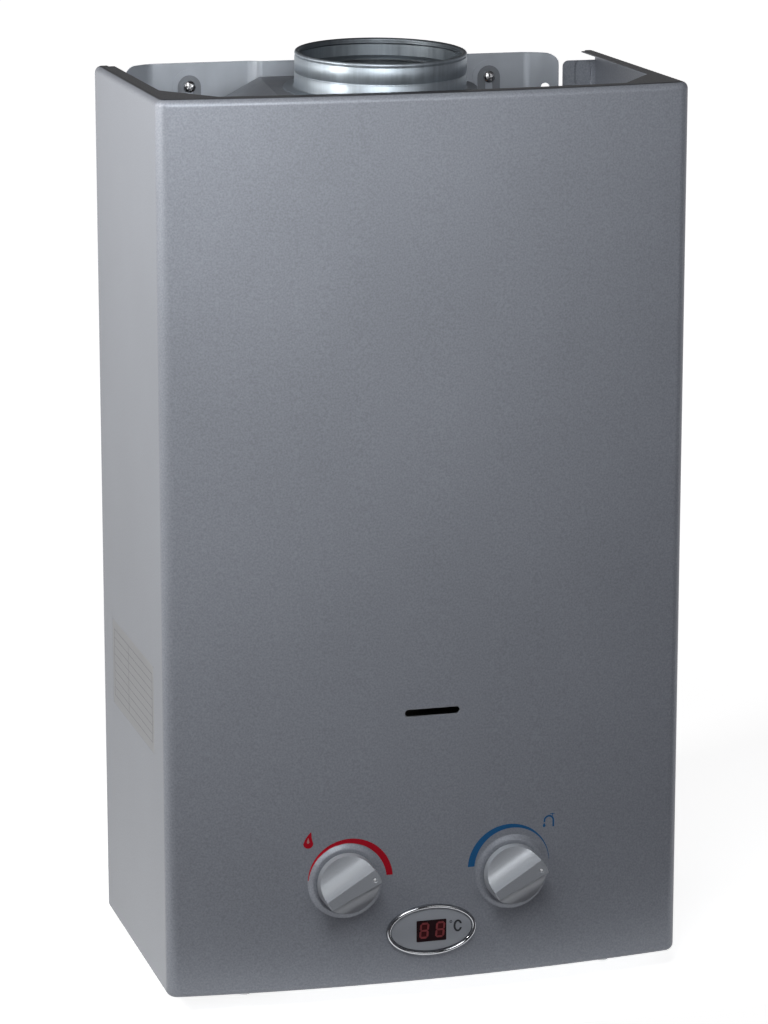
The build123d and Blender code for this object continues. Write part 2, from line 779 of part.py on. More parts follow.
with BuildPart() as membrane:
    rod(rod_depth, rod_height, membrane_x, membrane_x + 1.5, membrane_radius)
keep(membrane, "membrane")

with BuildPart() as water_valve_body:
    rod(rod_depth, rod_height, membrane_x + 1.5, 34.0, membrane_radius)
    slab((33.0, water_right), (98.0, 138.0), (56.0, 125.0))
    fillet(water_valve_body.edges().filter_by(Axis.Z).group_by(Axis.X)[-1], radius=6.0)
    stub(water_knob_x, water_knob_height, 137.0, 148.0, 12.5)
    post(*cold_inlet_at, 44.0, 60.0, 14.0)
    post(*drain_at, 48.0, 60.0, 9.0)
    stub(water_knob_x, water_knob_height, 116.0, 149.0, 8.0 + run_gap, Mode.SUBTRACT)
keep(water_valve_body, "water_valve_body")

with BuildPart() as membrane_screws:
    for turn in range(6):
        angle = radians(60.0 * turn + 30.0)
        depth, height = rod_depth + 28.0 * cos(angle), rod_height + 28.0 * sin(angle)
        rod(depth, height, 4.2, 7.0, 3.2)
keep(membrane_screws, "membrane_screws")

with BuildPart() as spindle_glands:
    for (x, height), seat in zip(knob_places, (152.0, 148.0)):
        with BuildSketch(facing(seat)):
            with Locations((x, height)):
                RegularPolygon(10.0, 6, major_radius=False)
                Circle(spindle_radius + run_gap, mode=Mode.SUBTRACT)
        extrude(amount=5.0)
keep(spindle_glands, "spindle_glands")

for name, (x, height), plug_front in zip(("gas_spindle", "water_spindle"), knob_places, (150.0, 146.0)):
    with BuildPart() as spindle:
        stub(x, height, 118.0, plug_front, 8.0)
        stub(x, height, plug_front, 208.0, spindle_radius)
        slab((x + 2.8, x + 5.0), (192.0, 209.0), (height - 5, height + 5), Mode.SUBTRACT)
    keep(spindle, name)

with BuildPart() as drain_plug:
    post(*drain_at, -4.0, 48.0, 5.0)
    post(*drain_at, -8.0, -2.0, 7.5)
    drain_x, drain_depth = drain_at
    slab((drain_x - 9, drain_x + 9), (drain_depth - 1.2, drain_depth + 1.2), (-9.0, -6.5), Mode.SUBTRACT)
keep(drain_plug, "drain_plug")


def nipple(place, top):
    """Threaded stub with a hexagon above the tray."""
    x, depth = place
    post(x, depth, nipple_bottom, top, nipple_radius)
    hexagon(x, depth, 12.0, 24.0, 27.0)
    post(x, depth, nipple_bottom - 1, top + 1, nipple_bore, Mode.SUBTRACT)


with BuildPart() as gas_inlet:
    nipple(gas_inlet_at, 42.0)
keep(gas_inlet, "gas_inlet")

with BuildPart() as cold_inlet:
    nipple(cold_inlet_at, 44.0)
    post(*cold_inlet_at, nipple_bottom - 1, filter_top, 8.0, Mode.SUBTRACT)
keep(cold_inlet, "cold_inlet")

with BuildPart() as hot_outlet:
    nipple(hot_outlet_at, 40.0)
keep(hot_outlet, "hot_outlet")

with BuildPart() as inlet_filter:
    post(*cold_inlet_at, nipple_bottom + 1.5, filter_top, 7.9)
    post(*cold_inlet_at, nipple_bottom, filter_top - 2.0, 6.5, Mode.SUBTRACT)
keep(inlet_filter, "inlet_filter")

with BuildPart() as valve_bracket:
    slab((-52.0, -30.0), (100.0, 130.0), (tray_height + tray_sheet, tray_height + tray_sheet + 1.5))
    slab((-52.0, -50.5), (100.0, 130.0), (tray_height + tray_sheet, 60.0))
    slab((-52.0, -30.0), (100.0, 130.0), (58.5, 60.0))
keep(valve_bracket, "valve_bracket")

with BuildPart() as switch_body:
    slab((-40.0, -17.0), (145.0, 158.0), (94.0, 108.0))
    fillet(switch_body.edges().filter_by(Axis.Y), radius=1.0)
    for h0 in (97.6, 105.2):
        slab((-18.0, -12.0), (148.0, 154.0), (h0, h0 + 1.6))
    post(-14.0, 151.0, 97.0, 107.0, 1.0 + run_gap, Mode.SUBTRACT)
keep(switch_body, "switch_body")

with BuildPart() as switch_lever:
    # Seen from above: an arm from the pin back to the rod's collar
    with BuildSketch(level(100.8)):
        Polygon(
            (-14.8, -153.0),
            (-13.0, -153.0),
            (-7.4, -124.0),
            (-7.4, -114.0),
            (-8.6, -114.0),
            (-8.6, -123.7),
            align=None,
        )
        with Locations((-14.0, -151.0)):
            Circle(2.2)
    extrude(amount=3.0)
    post(-14.0, 151.0, 97.8, 106.6, 1.0)
keep(switch_lever, "switch_lever")


# Ignition

with BuildPart() as igniter_box:
    slab((-130.0, -68.5), (plate_thickness, 41.0), (62.0, 120.0))
    fillet(igniter_box.edges().filter_by(Axis.Y), radius=3.0)
    fillet(igniter_box.faces().sort_by(Axis.Y)[0].edges(), radius=1.5)
    stub(-84.0, 91.0, 41.0, 49.0, 5.0)
keep(igniter_box, "igniter_box")

with BuildPart() as battery_box:
    (bx0, bx1), (bd0, bd1) = battery_box_x, battery_box_depth
    slab((bx0 + 0.3, bx1 - 0.3), (bd0 + 0.3, bd1 - 0.3), (0.0, battery_box_top))
    fillet(battery_box.edges().filter_by(Axis.Z), radius=3.0)
    tray_top = tray_height + tray_sheet
    slab((bx0 - 2.0, bx1 + 2.0), (bd0 - 2.0, bd1 + 2.0), (tray_top, tray_top + 1.5))
    slab((bx0 + 1.8, bx1 - 1.8), (bd0 + 1.8, bd1 - 1.8), (-1.0, battery_box_top - 2.0), Mode.SUBTRACT)
    # Ears under the box that carry the lid's pin
    ax, ah = lid_axis
    for d0 in (bd0 + 3.0, bd1 - 6.0):
        stub(ax, ah, d0, d0 + 3.0, 2.2)
        slab((ax - 2.2, ax + 0.0), (d0, d0 + 3.0), (ah, 0.5))
    stub(ax, ah, bd0 + 3.0, bd1 - 3.0, 1.0)
keep(battery_box, "battery_box")

with BuildPart() as battery_lid:
    stub(ax, ah, bd0 + 6.5, bd1 - 6.5, 2.2)
    slab((ax, bx1 - 0.5), (bd0 + 0.5, bd1 - 0.5), (-2.8, -0.6))
    slab((ax - 3.0, ax + 3.0), (bd0, bd0 + 6.5), (-6.0, 1.0), Mode.SUBTRACT)
    slab((ax - 3.0, ax + 3.0), (bd1 - 6.5, bd1), (-6.0, 1.0), Mode.SUBTRACT)
    slab((bx1 - 3.0, bx1 + 3.5), ((bd0 + bd1) / 2 - 7, (bd0 + bd1) / 2 + 7), (-2.8, -1.2))
    # Finger ribs near the free end
    for step in range(4):
        rib_x = bx1 - 14.0 + 2.5 * step
        slab((rib_x, rib_x + 1.0), ((bd0 + bd1) / 2 - 9, (bd0 + bd1) / 2 + 9), (-3.4, -2.8))
    stub(ax, ah, bd0, bd1, 1.0 + run_gap, Mode.SUBTRACT)
keep(battery_lid, "battery_lid")

with BuildPart() as batteries:
    middle_x, middle_d = (bx0 + bx1) / 2, (bd0 + bd1) / 2
    for side in (-1, 1):
        x = middle_x + side * cell_spacing / 2
        post(x, middle_d, 3.0, 61.0, cell_radius)
        post(x, middle_d, 61.0, 63.0, 5.0)
keep(batteries, "batteries")

with BuildPart() as battery_contacts:
    for side in (-1, 1):
        x = middle_x + side * cell_spacing / 2
        slab((x - 8.0, x + 8.0), (middle_d - 8.0, middle_d + 8.0), (65.0, 66.0))
        post(x, middle_d, 63.0, 65.0, 3.0)
keep(battery_contacts, "battery_contacts")


# Display

face_x, face_y = display_width / 2 - 3.0, display_tall / 2 - 3.0
apex = casing_depth + front_bow
with BuildPart() as display_bezel:
    with BuildSketch(facing(apex)):
        with Locations((display_x, display_height)):
            Ellipse(display_width / 2, display_tall / 2)
    extrude(amount=display_proud)
    fillet(display_bezel.edges().group_by(Axis.Y)[0], radius=1.4)
    with BuildSketch(facing(apex + 0.6)):
        with Locations((display_x, display_height)):
            Ellipse(face_x, face_y)
    extrude(amount=display_proud, mode=Mode.SUBTRACT)
    with BuildSketch(facing(187.5)):
        with Locations((display_x, display_height)):
            Ellipse(face_x - 0.3, face_y - 0.3)
    extrude(amount=apex - 187.5)
    with BuildSketch(facing(187.0)):
        with Locations((display_x, display_height)):
            Ellipse(face_x - 1.8, face_y - 1.8)
    extrude(amount=12.0, mode=Mode.SUBTRACT)
keep(display_bezel, "display_bezel")

window_x, window_height = -0.6, 34.6
window_half, window_tall_half = 9.9, 7.1
with BuildPart() as display_face:
    with BuildSketch(facing(apex + 0.6)):
        with Locations((display_x, display_height)):
            Ellipse(face_x - 0.1, face_y - 0.1)
        with Locations((window_x, window_height)):
            Rectangle(2 * window_half + 0.2, 2 * window_tall_half + 0.2, mode=Mode.SUBTRACT)
    extrude(amount=0.9)
keep(display_face, "display_face")

with BuildPart() as display_window:
    with BuildSketch(facing(187.5)):
        with Locations((window_x, window_height)):
            Rectangle(2 * window_half, 2 * window_tall_half)
    extrude(amount=apex + 1.3 - 187.5)
keep(display_window, "display_window")

with BuildPart() as display_board:
    slab((-32.0, 32.0), (185.9, 187.5), (20.0, 50.0))
    slab((-20.0, -8.0), (181.0, 185.9), (30.0, 42.0))
    slab((12.0, 26.0), (180.0, 185.9), (26.0, 34.0))
keep(display_board, "display_board")


# Knobs

knob_base = boss_front + knob_lift
knob_top = knob_base + knob_proud


def scoop(x, middle, side):
    """Hollow flank of a grip bar: its section, swept along a slightly turned ridge."""
    ridge = radians(knob_pointer_angle + side * knob_ridge_lean)
    along = (cos(ridge), 0.0, sin(ridge))
    outward = (-side * sin(ridge), 0.0, side * cos(ridge))
    half_bar = 4.0
    start = (x + half_bar * outward[0], -knob_base, middle - hang_height + half_bar * outward[2])
    section = Plane(start, x_dir=outward, z_dir=along if side > 0 else tuple(-c for c in along))
    height = knob_proud
    with BuildSketch(section) as face:
        with BuildLine():
            flank_foot, clear = 15.6, 30.0
            ThreePointArc((0.0, height), (4.4, 0.55 * height), (flank_foot, knob_skirt))
            Polyline((flank_foot, knob_skirt), (clear, knob_skirt), (clear, height + 2))
            Polyline((clear, height + 2), (0.0, height + 2), (0.0, height))
        make_face()
    return extrude(face.sketch, amount=30.0, both=True, mode=Mode.PRIVATE)


for name, (x, height) in zip(("gas_knob", "water_knob"), knob_places):
    with BuildPart() as knob:
        with BuildSketch(facing(knob_base)):
            with Locations((x, height)):
                Circle(knob_radius)
        extrude(amount=knob_proud, taper=knob_draft)
        for side in (-1, 1):
            add(scoop(x, height, side), mode=Mode.SUBTRACT)
        stub(x, height, knob_base - 1, knob_base + 12.0, spindle_radius + run_gap, Mode.SUBTRACT)
    keep(knob, name)


# Casing screws

with BuildPart() as casing_screws:
    for x in (-casing_screw_x, casing_screw_x):
        post(x, casing_screw_depth, -1.6, 0.0, 4.0)
        post(x, casing_screw_depth, -0.1, tray_height + tray_sheet + 3.0, 2.0)
keep(casing_screws, "casing_screws")
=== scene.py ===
import json
import math

import bmesh
import bpy
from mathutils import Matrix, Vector


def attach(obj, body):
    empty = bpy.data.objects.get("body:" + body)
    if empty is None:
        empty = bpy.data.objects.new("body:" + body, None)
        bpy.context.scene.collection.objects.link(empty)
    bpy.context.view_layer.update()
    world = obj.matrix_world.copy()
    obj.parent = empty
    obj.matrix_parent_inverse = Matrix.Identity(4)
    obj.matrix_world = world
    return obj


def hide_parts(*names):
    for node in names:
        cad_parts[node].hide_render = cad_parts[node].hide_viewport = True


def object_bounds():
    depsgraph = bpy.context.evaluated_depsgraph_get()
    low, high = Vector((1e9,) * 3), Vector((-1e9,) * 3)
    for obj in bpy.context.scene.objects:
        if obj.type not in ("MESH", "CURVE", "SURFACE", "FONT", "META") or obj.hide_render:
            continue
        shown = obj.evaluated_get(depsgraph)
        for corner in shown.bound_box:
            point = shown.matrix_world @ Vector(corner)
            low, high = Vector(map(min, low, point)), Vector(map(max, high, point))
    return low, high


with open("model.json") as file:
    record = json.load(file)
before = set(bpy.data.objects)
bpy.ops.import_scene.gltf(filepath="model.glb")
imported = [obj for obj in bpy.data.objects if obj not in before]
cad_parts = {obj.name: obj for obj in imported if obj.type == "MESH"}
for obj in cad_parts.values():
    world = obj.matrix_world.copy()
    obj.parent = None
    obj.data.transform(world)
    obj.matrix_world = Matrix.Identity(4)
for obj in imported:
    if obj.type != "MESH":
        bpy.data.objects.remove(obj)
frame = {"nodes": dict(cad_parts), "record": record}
cad_box = [list(corner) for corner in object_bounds()]

# The heater's own sizes, in millimetres. Heights run up from the casing's bottom edge, depths from the wall.
casing_width = 340.0
casing_height = 570.0
casing_depth = 185.0
front_bow = 12.0
casing_gap = 1.0
sheet = 0.8
corner_radius = 7.0
edge_radius = 4.5
side_lip = 12.0
rear_flange = 23.5
hang_height = 500.0
gas_dial_at = (-56.6, 72.2)
water_dial_at = (53.4, 68.8)
knob_radius = 19.4
knob_top_radius = 18.6
knob_proud = 19.2
skirt = 6.0
knob_angle = math.radians(29.0)
ridge_lean = math.radians(3.2)
half_bar = 4.0
boss_rim = 21.0
boss_foot = 25.2
boss_front = 197.6
slot_height = 179.5
display_at = (-0.5, 35.2)
collar_depth = 75.0
collar_radius = 55.0
collar_foot = 559.0
collar_rise = 24.0
collar_lean = math.radians(2.5)
chassis_x = -6.5
tab_spread = 101.5
hood_screw_height = 554.7

half_width = casing_width / 2
apex = casing_depth + front_bow
bow_radius = (front_bow ** 2 + half_width ** 2) / (2 * front_bow)
dials = (gas_dial_at, water_dial_at)


def bow(x):
    """How far the front stands forward of its own corners at this x."""
    return math.sqrt(bow_radius ** 2 - x ** 2) - (bow_radius - front_bow)


def at(x, depth, height):
    """A place in the frame, in metres."""
    return Vector((x / 1000, -depth / 1000, (height - hang_height) / 1000))


def where(vertex):
    """The same the other way round: x, depth and height of a vertex, in millimetres."""
    return vertex.co.x * 1000, -vertex.co.y * 1000, vertex.co.z * 1000 + hang_height


# Modelling moves that the pieces share

def only(piece):
    bpy.ops.object.select_all(action="DESELECT")
    piece.select_set(True)
    bpy.context.view_layer.objects.active = piece


def settle(name):
    """Name the new primitive and put its place into its mesh."""
    piece = bpy.context.active_object
    piece.name = name
    piece.data.name = name
    bpy.ops.object.transform_apply(location=True, rotation=True, scale=True)
    return piece


def block(name, x_span, depth_span, height_span):
    """Straight block between three pairs of limits."""
    bpy.ops.object.select_all(action="DESELECT")
    low = at(x_span[0], depth_span[1], height_span[0])
    high = at(x_span[1], depth_span[0], height_span[1])
    bpy.ops.mesh.primitive_cube_add(size=1, location=(low + high) / 2)
    bpy.context.active_object.scale = high - low
    return settle(name)


def pick(piece, test):
    """Enter edit mode with only those edges selected that pass the test."""
    only(piece)
    bpy.ops.object.mode_set(mode="EDIT")
    bpy.ops.mesh.select_mode(type="EDGE")
    bpy.ops.mesh.select_all(action="DESELECT")
    for edge in bmesh.from_edit_mesh(piece.data).edges:
        if test(edge):
            edge.select_set(True)
    bmesh.update_edit_mesh(piece.data)


def leave():
    bpy.ops.object.mode_set(mode="OBJECT")


def bevel(piece, test, width, segments):
    """Round the edges that pass the test."""
    pick(piece, test)
    bpy.ops.mesh.bevel(offset=width / 1000, segments=segments, affect="EDGES")
    leave()


def along(edge, axis):
    """Whether an edge runs along this axis (0, 1 or 2)."""
    run = edge.verts[1].co - edge.verts[0].co
    return run.length > 0 and abs(run[axis]) > 0.999 * run.length


def middle(edge):
    return (edge.verts[0].co + edge.verts[1].co) / 2


def strips(piece, places):
    """Cut the whole mesh into upright strips at these places along x."""
    only(piece)
    bpy.ops.object.mode_set(mode="EDIT")
    for place in places:
        bpy.ops.mesh.select_all(action="SELECT")
        bpy.ops.mesh.bisect(plane_co=Vector((place, 0, 0)) / 1000, plane_no=(1, 0, 0))
    leave()


def bowed(piece, from_depth):
    """Push everything in front of a depth forward along the front's bow."""
    for vertex in piece.data.vertices:
        if vertex.co.y < -from_depth / 1000:
            vertex.co.y -= bow(vertex.co.x * 1000) / 1000


def trim(piece, place, normal):
    """Cut away what lies beyond a plane and close the cut."""
    only(piece)
    bpy.ops.object.mode_set(mode="EDIT")
    bpy.ops.mesh.select_all(action="SELECT")
    bpy.ops.mesh.bisect(plane_co=place, plane_no=normal, clear_outer=True, use_fill=True)
    leave()


def carve(piece, cutter, operation="DIFFERENCE"):
    """Combine with another solid, which is used up."""
    only(piece)
    modifier = piece.modifiers.new("carve", "BOOLEAN")
    modifier.operation = operation
    modifier.solver = "EXACT"
    modifier.object = cutter
    bpy.ops.object.modifier_apply(modifier=modifier.name)
    bpy.data.objects.remove(cutter)


def merge(piece, *others):
    """Put pieces that touch into one mesh."""
    only(piece)
    for other in others:
        other.select_set(True)
    bpy.ops.object.join()
    return piece


def copy_of(piece, name):
    twin = piece.copy()
    twin.data = piece.data.copy()
    twin.name = name
    twin.data.name = name
    bpy.context.scene.collection.objects.link(twin)
    return twin


def smooth(piece, angle=35.0, outwards=True):
    """Merge doubles, turn faces outwards and shade smooth up to an angle."""
    only(piece)
    bpy.ops.object.mode_set(mode="EDIT")
    bpy.ops.mesh.select_all(action="SELECT")
    bpy.ops.mesh.remove_doubles(threshold=0.000002)
    if outwards:
        bpy.ops.mesh.normals_make_consistent(inside=False)
    leave()
    bpy.ops.object.shade_smooth_by_angle(angle=math.radians(angle))


def soften(piece, width, angle=30.0, segments=3):
    """Round every edge sharper than an angle, and keep the flats flat."""
    only(piece)
    modifier = piece.modifiers.new("soften", "BEVEL")
    modifier.width = width / 1000
    modifier.segments = segments
    modifier.limit_method = "ANGLE"
    modifier.angle_limit = math.radians(angle)
    modifier.harden_normals = False
    bpy.ops.object.modifier_apply(modifier=modifier.name)
    flatten(piece)


def flatten(piece):
    """Let the large faces rule the shading."""
    only(piece)
    modifier = piece.modifiers.new("flats", "WEIGHTED_NORMAL")
    modifier.keep_sharp = True
    modifier.weight = 60
    bpy.ops.object.modifier_apply(modifier=modifier.name)


TURN = {"up": 0.0, "front": math.pi / 2}


def rings(name, centre, axis, steps, sides=96, closed=True, lean=0.0):
    """Stack rings (half width, half height, place along the axis) and skin them, starting from a circle."""
    bpy.ops.object.select_all(action="DESELECT")
    bpy.ops.mesh.primitive_circle_add(vertices=sides, radius=0.001, fill_type="NOTHING")
    piece = settle(name)
    bpy.ops.object.mode_set(mode="EDIT")
    bpy.ops.mesh.select_mode(type="EDGE")
    bpy.ops.mesh.select_all(action="SELECT")
    wide, tall, place = steps[0]
    bpy.ops.transform.resize(value=(wide, tall, 1), center_override=(0, 0, 0))
    bpy.ops.transform.translate(value=(0, 0, place / 1000))
    if closed:
        bpy.ops.mesh.edge_face_add()
        bpy.ops.mesh.select_mode(type="EDGE")
    for next_wide, next_tall, next_place in steps[1:]:
        if closed:
            bpy.ops.mesh.extrude_region_move()
        else:
            bpy.ops.mesh.extrude_edges_move()
        growth = (next_wide / wide, next_tall / tall, 1)
        bpy.ops.transform.resize(value=growth, center_override=(0, 0, place / 1000))
        bpy.ops.transform.translate(value=(0, 0, (next_place - place) / 1000))
        wide, tall, place = next_wide, next_tall, next_place
    bpy.ops.mesh.select_all(action="SELECT")
    bpy.ops.mesh.normals_make_consistent(inside=False)
    leave()
    piece.rotation_euler = (TURN[axis] + lean, 0, 0)
    piece.location = centre
    only(piece)
    return settle(name)


def turned(name, centre, axis, profile, sides=96, closed=True, lean=0.0):
    """Round piece from (radius, place) pairs."""
    steps = [(radius, radius, place) for radius, place in profile]
    return rings(name, centre, axis, steps, sides, closed, lean)


def arc(centre, radius, start, end, count):
    """Points along an arc, as (radius, place) pairs; angles in degrees, 0 points outwards."""
    turns = [math.radians(start + (end - start) * i / count) for i in range(count + 1)]
    return [(centre[0] + radius * math.cos(t), centre[1] + radius * math.sin(t)) for t in turns]


def spun(piece, centre, angle):
    """Turn a whole mesh about a line through the centre that points to the front."""
    for vertex in piece.data.vertices:
        offset = vertex.co - centre
        vertex.co.x = centre.x + offset.x * math.cos(angle) - offset.z * math.sin(angle)
        vertex.co.z = centre.z + offset.x * math.sin(angle) + offset.z * math.cos(angle)


def refined(node, name):
    """A clean copy of a CAD node's mesh: doubles merged, flat faces in one piece again."""
    piece = copy_of(frame["nodes"][node], name)
    only(piece)
    bpy.ops.object.mode_set(mode="EDIT")
    bpy.ops.mesh.select_all(action="SELECT")
    bpy.ops.mesh.remove_doubles(threshold=0.00001)
    bpy.ops.mesh.dissolve_limited(angle_limit=math.radians(0.6))
    leave()
    return piece


# Materials

def surface(name, color, roughness, metallic=0.0, **sockets):
    """Principled finish; returns the material and its shader."""
    material = bpy.data.materials.new(name)
    material.use_nodes = True
    shader = material.node_tree.nodes["Principled BSDF"]
    shader.inputs["Base Color"].default_value = (*color, 1)
    shader.inputs["Roughness"].default_value = roughness
    shader.inputs["Metallic"].default_value = metallic
    for socket, value in sockets.items():
        shader.inputs[socket.replace("_", " ")].default_value = value
    return material, shader


def noise(material, scale, detail=3.0, stretch=(1, 1, 1), roughness=0.5):
    """Noise on object coordinates; scale counts features per metre."""
    nodes, links = material.node_tree.nodes, material.node_tree.links
    place = nodes.new("ShaderNodeTexCoord")
    mapping = nodes.new("ShaderNodeMapping")
    mapping.inputs["Scale"].default_value = stretch
    texture = nodes.new("ShaderNodeTexNoise")
    texture.inputs["Scale"].default_value = scale
    texture.inputs["Detail"].default_value = detail
    texture.inputs["Roughness"].default_value = roughness
    links.new(place.outputs["Object"], mapping.inputs["Vector"])
    links.new(mapping.outputs["Vector"], texture.inputs["Vector"])
    return texture


def ramp(material, source, low, high, start=0.3, end=0.7):
    """Colour ramp between two colours or two grey levels."""
    nodes, links = material.node_tree.nodes, material.node_tree.links
    blend = nodes.new("ShaderNodeValToRGB")
    blend.color_ramp.elements[0].position = start
    blend.color_ramp.elements[1].position = end
    for element, value in zip(blend.color_ramp.elements, (low, high)):
        element.color = (*value, 1) if isinstance(value, tuple) else (value, value, value, 1)
    links.new(source, blend.inputs["Fac"])
    return blend.outputs["Color"]


def bump(material, source, strength, distance):
    nodes, links = material.node_tree.nodes, material.node_tree.links
    relief = nodes.new("ShaderNodeBump")
    relief.inputs["Strength"].default_value = strength
    relief.inputs["Distance"].default_value = distance / 1000
    links.new(source, relief.inputs["Height"])
    links.new(relief.outputs["Normal"], nodes["Principled BSDF"].inputs["Normal"])


def shades(color, contrast):
    """A darker and a lighter shade of a colour."""
    return [tuple(channel * factor for channel in color) for factor in (1 - contrast, 1 + contrast)]


def tinted(material, fine, broad):
    """Base colour from a fine pattern, dimmed by a broad one."""
    nodes, links = material.node_tree.nodes, material.node_tree.links
    mix = nodes.new("ShaderNodeMix")
    mix.data_type = "RGBA"
    mix.blend_type = "MULTIPLY"
    mix.inputs["Factor"].default_value = 1.0
    links.new(fine, mix.inputs["A"])
    links.new(broad, mix.inputs["B"])
    links.new(mix.outputs["Result"], nodes["Principled BSDF"].inputs["Base Color"])


def speckled(name, color, roughness, metallic, grain_scale=1100.0, contrast=0.1, relief=0.25, **sockets):
    """Coated or moulded surface with a fine even grain and a faint cloudiness."""
    material, shader = surface(name, color, roughness, metallic, **sockets)
    grain = noise(material, grain_scale, 2.0).outputs["Fac"]
    cloud = noise(material, 9.0, 3.0).outputs["Fac"]
    fine = ramp(material, grain, *shades(color, contrast), 0.32, 0.68)
    tinted(material, fine, ramp(material, cloud, 0.93, 1.0))
    rough = ramp(material, grain, roughness - 0.05, roughness + 0.07)
    material.node_tree.links.new(rough, shader.inputs["Roughness"])
    bump(material, grain, relief, 0.05)
    return material


def brushed(name, color, roughness, stretch, contrast=0.14, metallic=1.0, relief=0.15, scale=60.0):
    """Drawn or rolled metal: streaks along one direction."""
    material, shader = surface(name, color, roughness, metallic)
    streak = noise(material, scale, 6.0, stretch, 0.65).outputs["Fac"]
    stain = noise(material, 22.0, 3.0).outputs["Fac"]
    tinted(material, ramp(material, streak, *shades(color, contrast)), ramp(material, stain, 0.88, 1.0))
    rough = ramp(material, streak, roughness - 0.08, roughness + 0.1)
    material.node_tree.links.new(rough, shader.inputs["Roughness"])
    bump(material, streak, relief, 0.04)
    return material


casing_paint = speckled("casing_paint", (0.295, 0.313, 0.355), 0.44, 0.28, 900.0, 0.12, 0.25,
                        Specular_IOR_Level=0.2, Coat_Weight=0.14, Coat_Roughness=0.2)
zinc = brushed("zinc_sheet", (0.4, 0.43, 0.48), 0.42, (1, 1, 0.35), 0.06, 0.35, 0.1, 40.0)
# Painted shade: a darker copy of the zinc sheet, for the hood
zinc_painted_shade = brushed("zinc_sheet_painted_shade", (0.2, 0.215, 0.24), 0.45, (1, 1, 0.35), 0.06, 0.35, 0.1, 40.0)
flue_metal = brushed("flue_sheet", (0.4, 0.45, 0.5), 0.42, (14, 14, 0.6), 0.12, 0.85, 0.1, 30.0)
copper = brushed("copper_sheet", (0.62, 0.33, 0.2), 0.32, (1, 1, 1), 0.12, 1.0, 0.1, 40.0)
brass = speckled("machined_brass", (0.62, 0.47, 0.2), 0.3, 1.0, 900.0, 0.06, 0.1)
die_cast = speckled("die_cast", (0.5, 0.5, 0.51), 0.45, 0.9, 700.0, 0.08, 0.4)
steel = brushed("bright_steel", (0.5, 0.5, 0.51), 0.24, (1, 1, 1), 0.1, 1.0, 0.1, 60.0)
stainless = brushed("tinted_stainless", (0.42, 0.4, 0.37), 0.34, (1, 1, 0.3), 0.14, 1.0, 0.1, 50.0)
knob_plastic = speckled("knob_plastic", (0.36, 0.38, 0.415), 0.34, 0.15, 1800.0, 0.04, 0.1,
                        Specular_IOR_Level=0.35)
chrome = speckled("bezel_chrome", (0.42, 0.43, 0.45), 0.1, 1.0, 300.0, 0.02, 0.02)
face_film = speckled("display_film", (0.36, 0.38, 0.42), 0.4, 0.1, 1500.0, 0.03, 0.05, Specular_IOR_Level=0.3)
window_lens = speckled("display_lens", (0.02, 0.006, 0.008), 0.16, 0.0, 300.0, 0.1, 0.02,
                       Specular_IOR_Level=0.3)
digit_red = speckled("unlit_digit", (0.24, 0.05, 0.055), 0.4, 0.0, 300.0, 0.1, 0.02, Specular_IOR_Level=0.15)
print_dark = speckled("dark_print", (0.018, 0.02, 0.026), 0.45, 0.0, 900.0, 0.1, 0.05)
print_red = speckled("red_print", (0.4, 0.008, 0.02), 0.45, 0.0, 900.0, 0.06, 0.05, Specular_IOR_Level=0.08)
print_blue = speckled("blue_print", (0.02, 0.11, 0.27), 0.45, 0.0, 900.0, 0.06, 0.05, Specular_IOR_Level=0.08)
cell_red = speckled("unlit_cell", (0.06, 0.006, 0.008), 0.4, 0.0, 300.0, 0.1, 0.02, Specular_IOR_Level=0.15)
print_pale = speckled("pale_print", (0.42, 0.2, 0.2), 0.42, 0.0, 900.0, 0.08, 0.05)
plate_film = speckled("plate_film", (0.27, 0.275, 0.29), 0.42, 0.2, 1000.0, 0.08, 0.1)
plate_ink = speckled("plate_ink", (0.13, 0.135, 0.15), 0.5, 0.0, 900.0, 0.1, 0.05)
dot_white = speckled("pointer_dot", (0.75, 0.76, 0.78), 0.3, 0.0, 900.0, 0.04, 0.02)
black_plastic = speckled("black_plastic", (0.02, 0.02, 0.022), 0.45, 0.0, 900.0, 0.15, 0.3)
white_plastic = speckled("white_plastic", (0.62, 0.62, 0.6), 0.4, 0.0, 900.0, 0.04, 0.2)
grey_plastic = speckled("grey_plastic", (0.2, 0.205, 0.21), 0.45, 0.0, 900.0, 0.08, 0.3)
ceramic = speckled("glazed_ceramic", (0.72, 0.7, 0.64), 0.2, 0.0, 400.0, 0.04, 0.05)
rubber = speckled("membrane_rubber", (0.02, 0.02, 0.02), 0.7, 0.0, 900.0, 0.2, 0.3)
board_green = speckled("circuit_board", (0.03, 0.12, 0.05), 0.4, 0.0, 500.0, 0.15, 0.2)
cell_jacket = brushed("cell_jacket", (0.12, 0.13, 0.15), 0.35, (1, 1, 0.2), 0.1, 0.6, 0.1, 60.0)
pane = surface("sight_pane", (0.75, 0.8, 0.8), 0.05, 0.0, Transmission_Weight=0.9, IOR=1.47)[0]


def reckon(tree, operation, *values):
    """Math node on sockets or plain numbers."""
    node = tree.nodes.new("ShaderNodeMath")
    node.operation = operation
    for socket, value in zip(node.inputs, values):
        if isinstance(value, float):
            socket.default_value = value
        else:
            tree.links.new(value, socket)
    return node.outputs[0]


def rising(tree, source, low, high):
    """Soft step from 0 at low to 1 at high."""
    step = tree.nodes.new("ShaderNodeMapRange")
    step.interpolation_type = "SMOOTHSTEP"
    step.inputs["From Min"].default_value = low
    step.inputs["From Max"].default_value = high
    tree.links.new(source, step.inputs["Value"])
    return step.outputs["Result"]


def place_in(tree):
    """Object coordinates, split."""
    split = tree.nodes.new("ShaderNodeSeparateXYZ")
    tree.links.new(tree.nodes.new("ShaderNodeTexCoord").outputs["Object"], split.inputs[0])
    return split.outputs


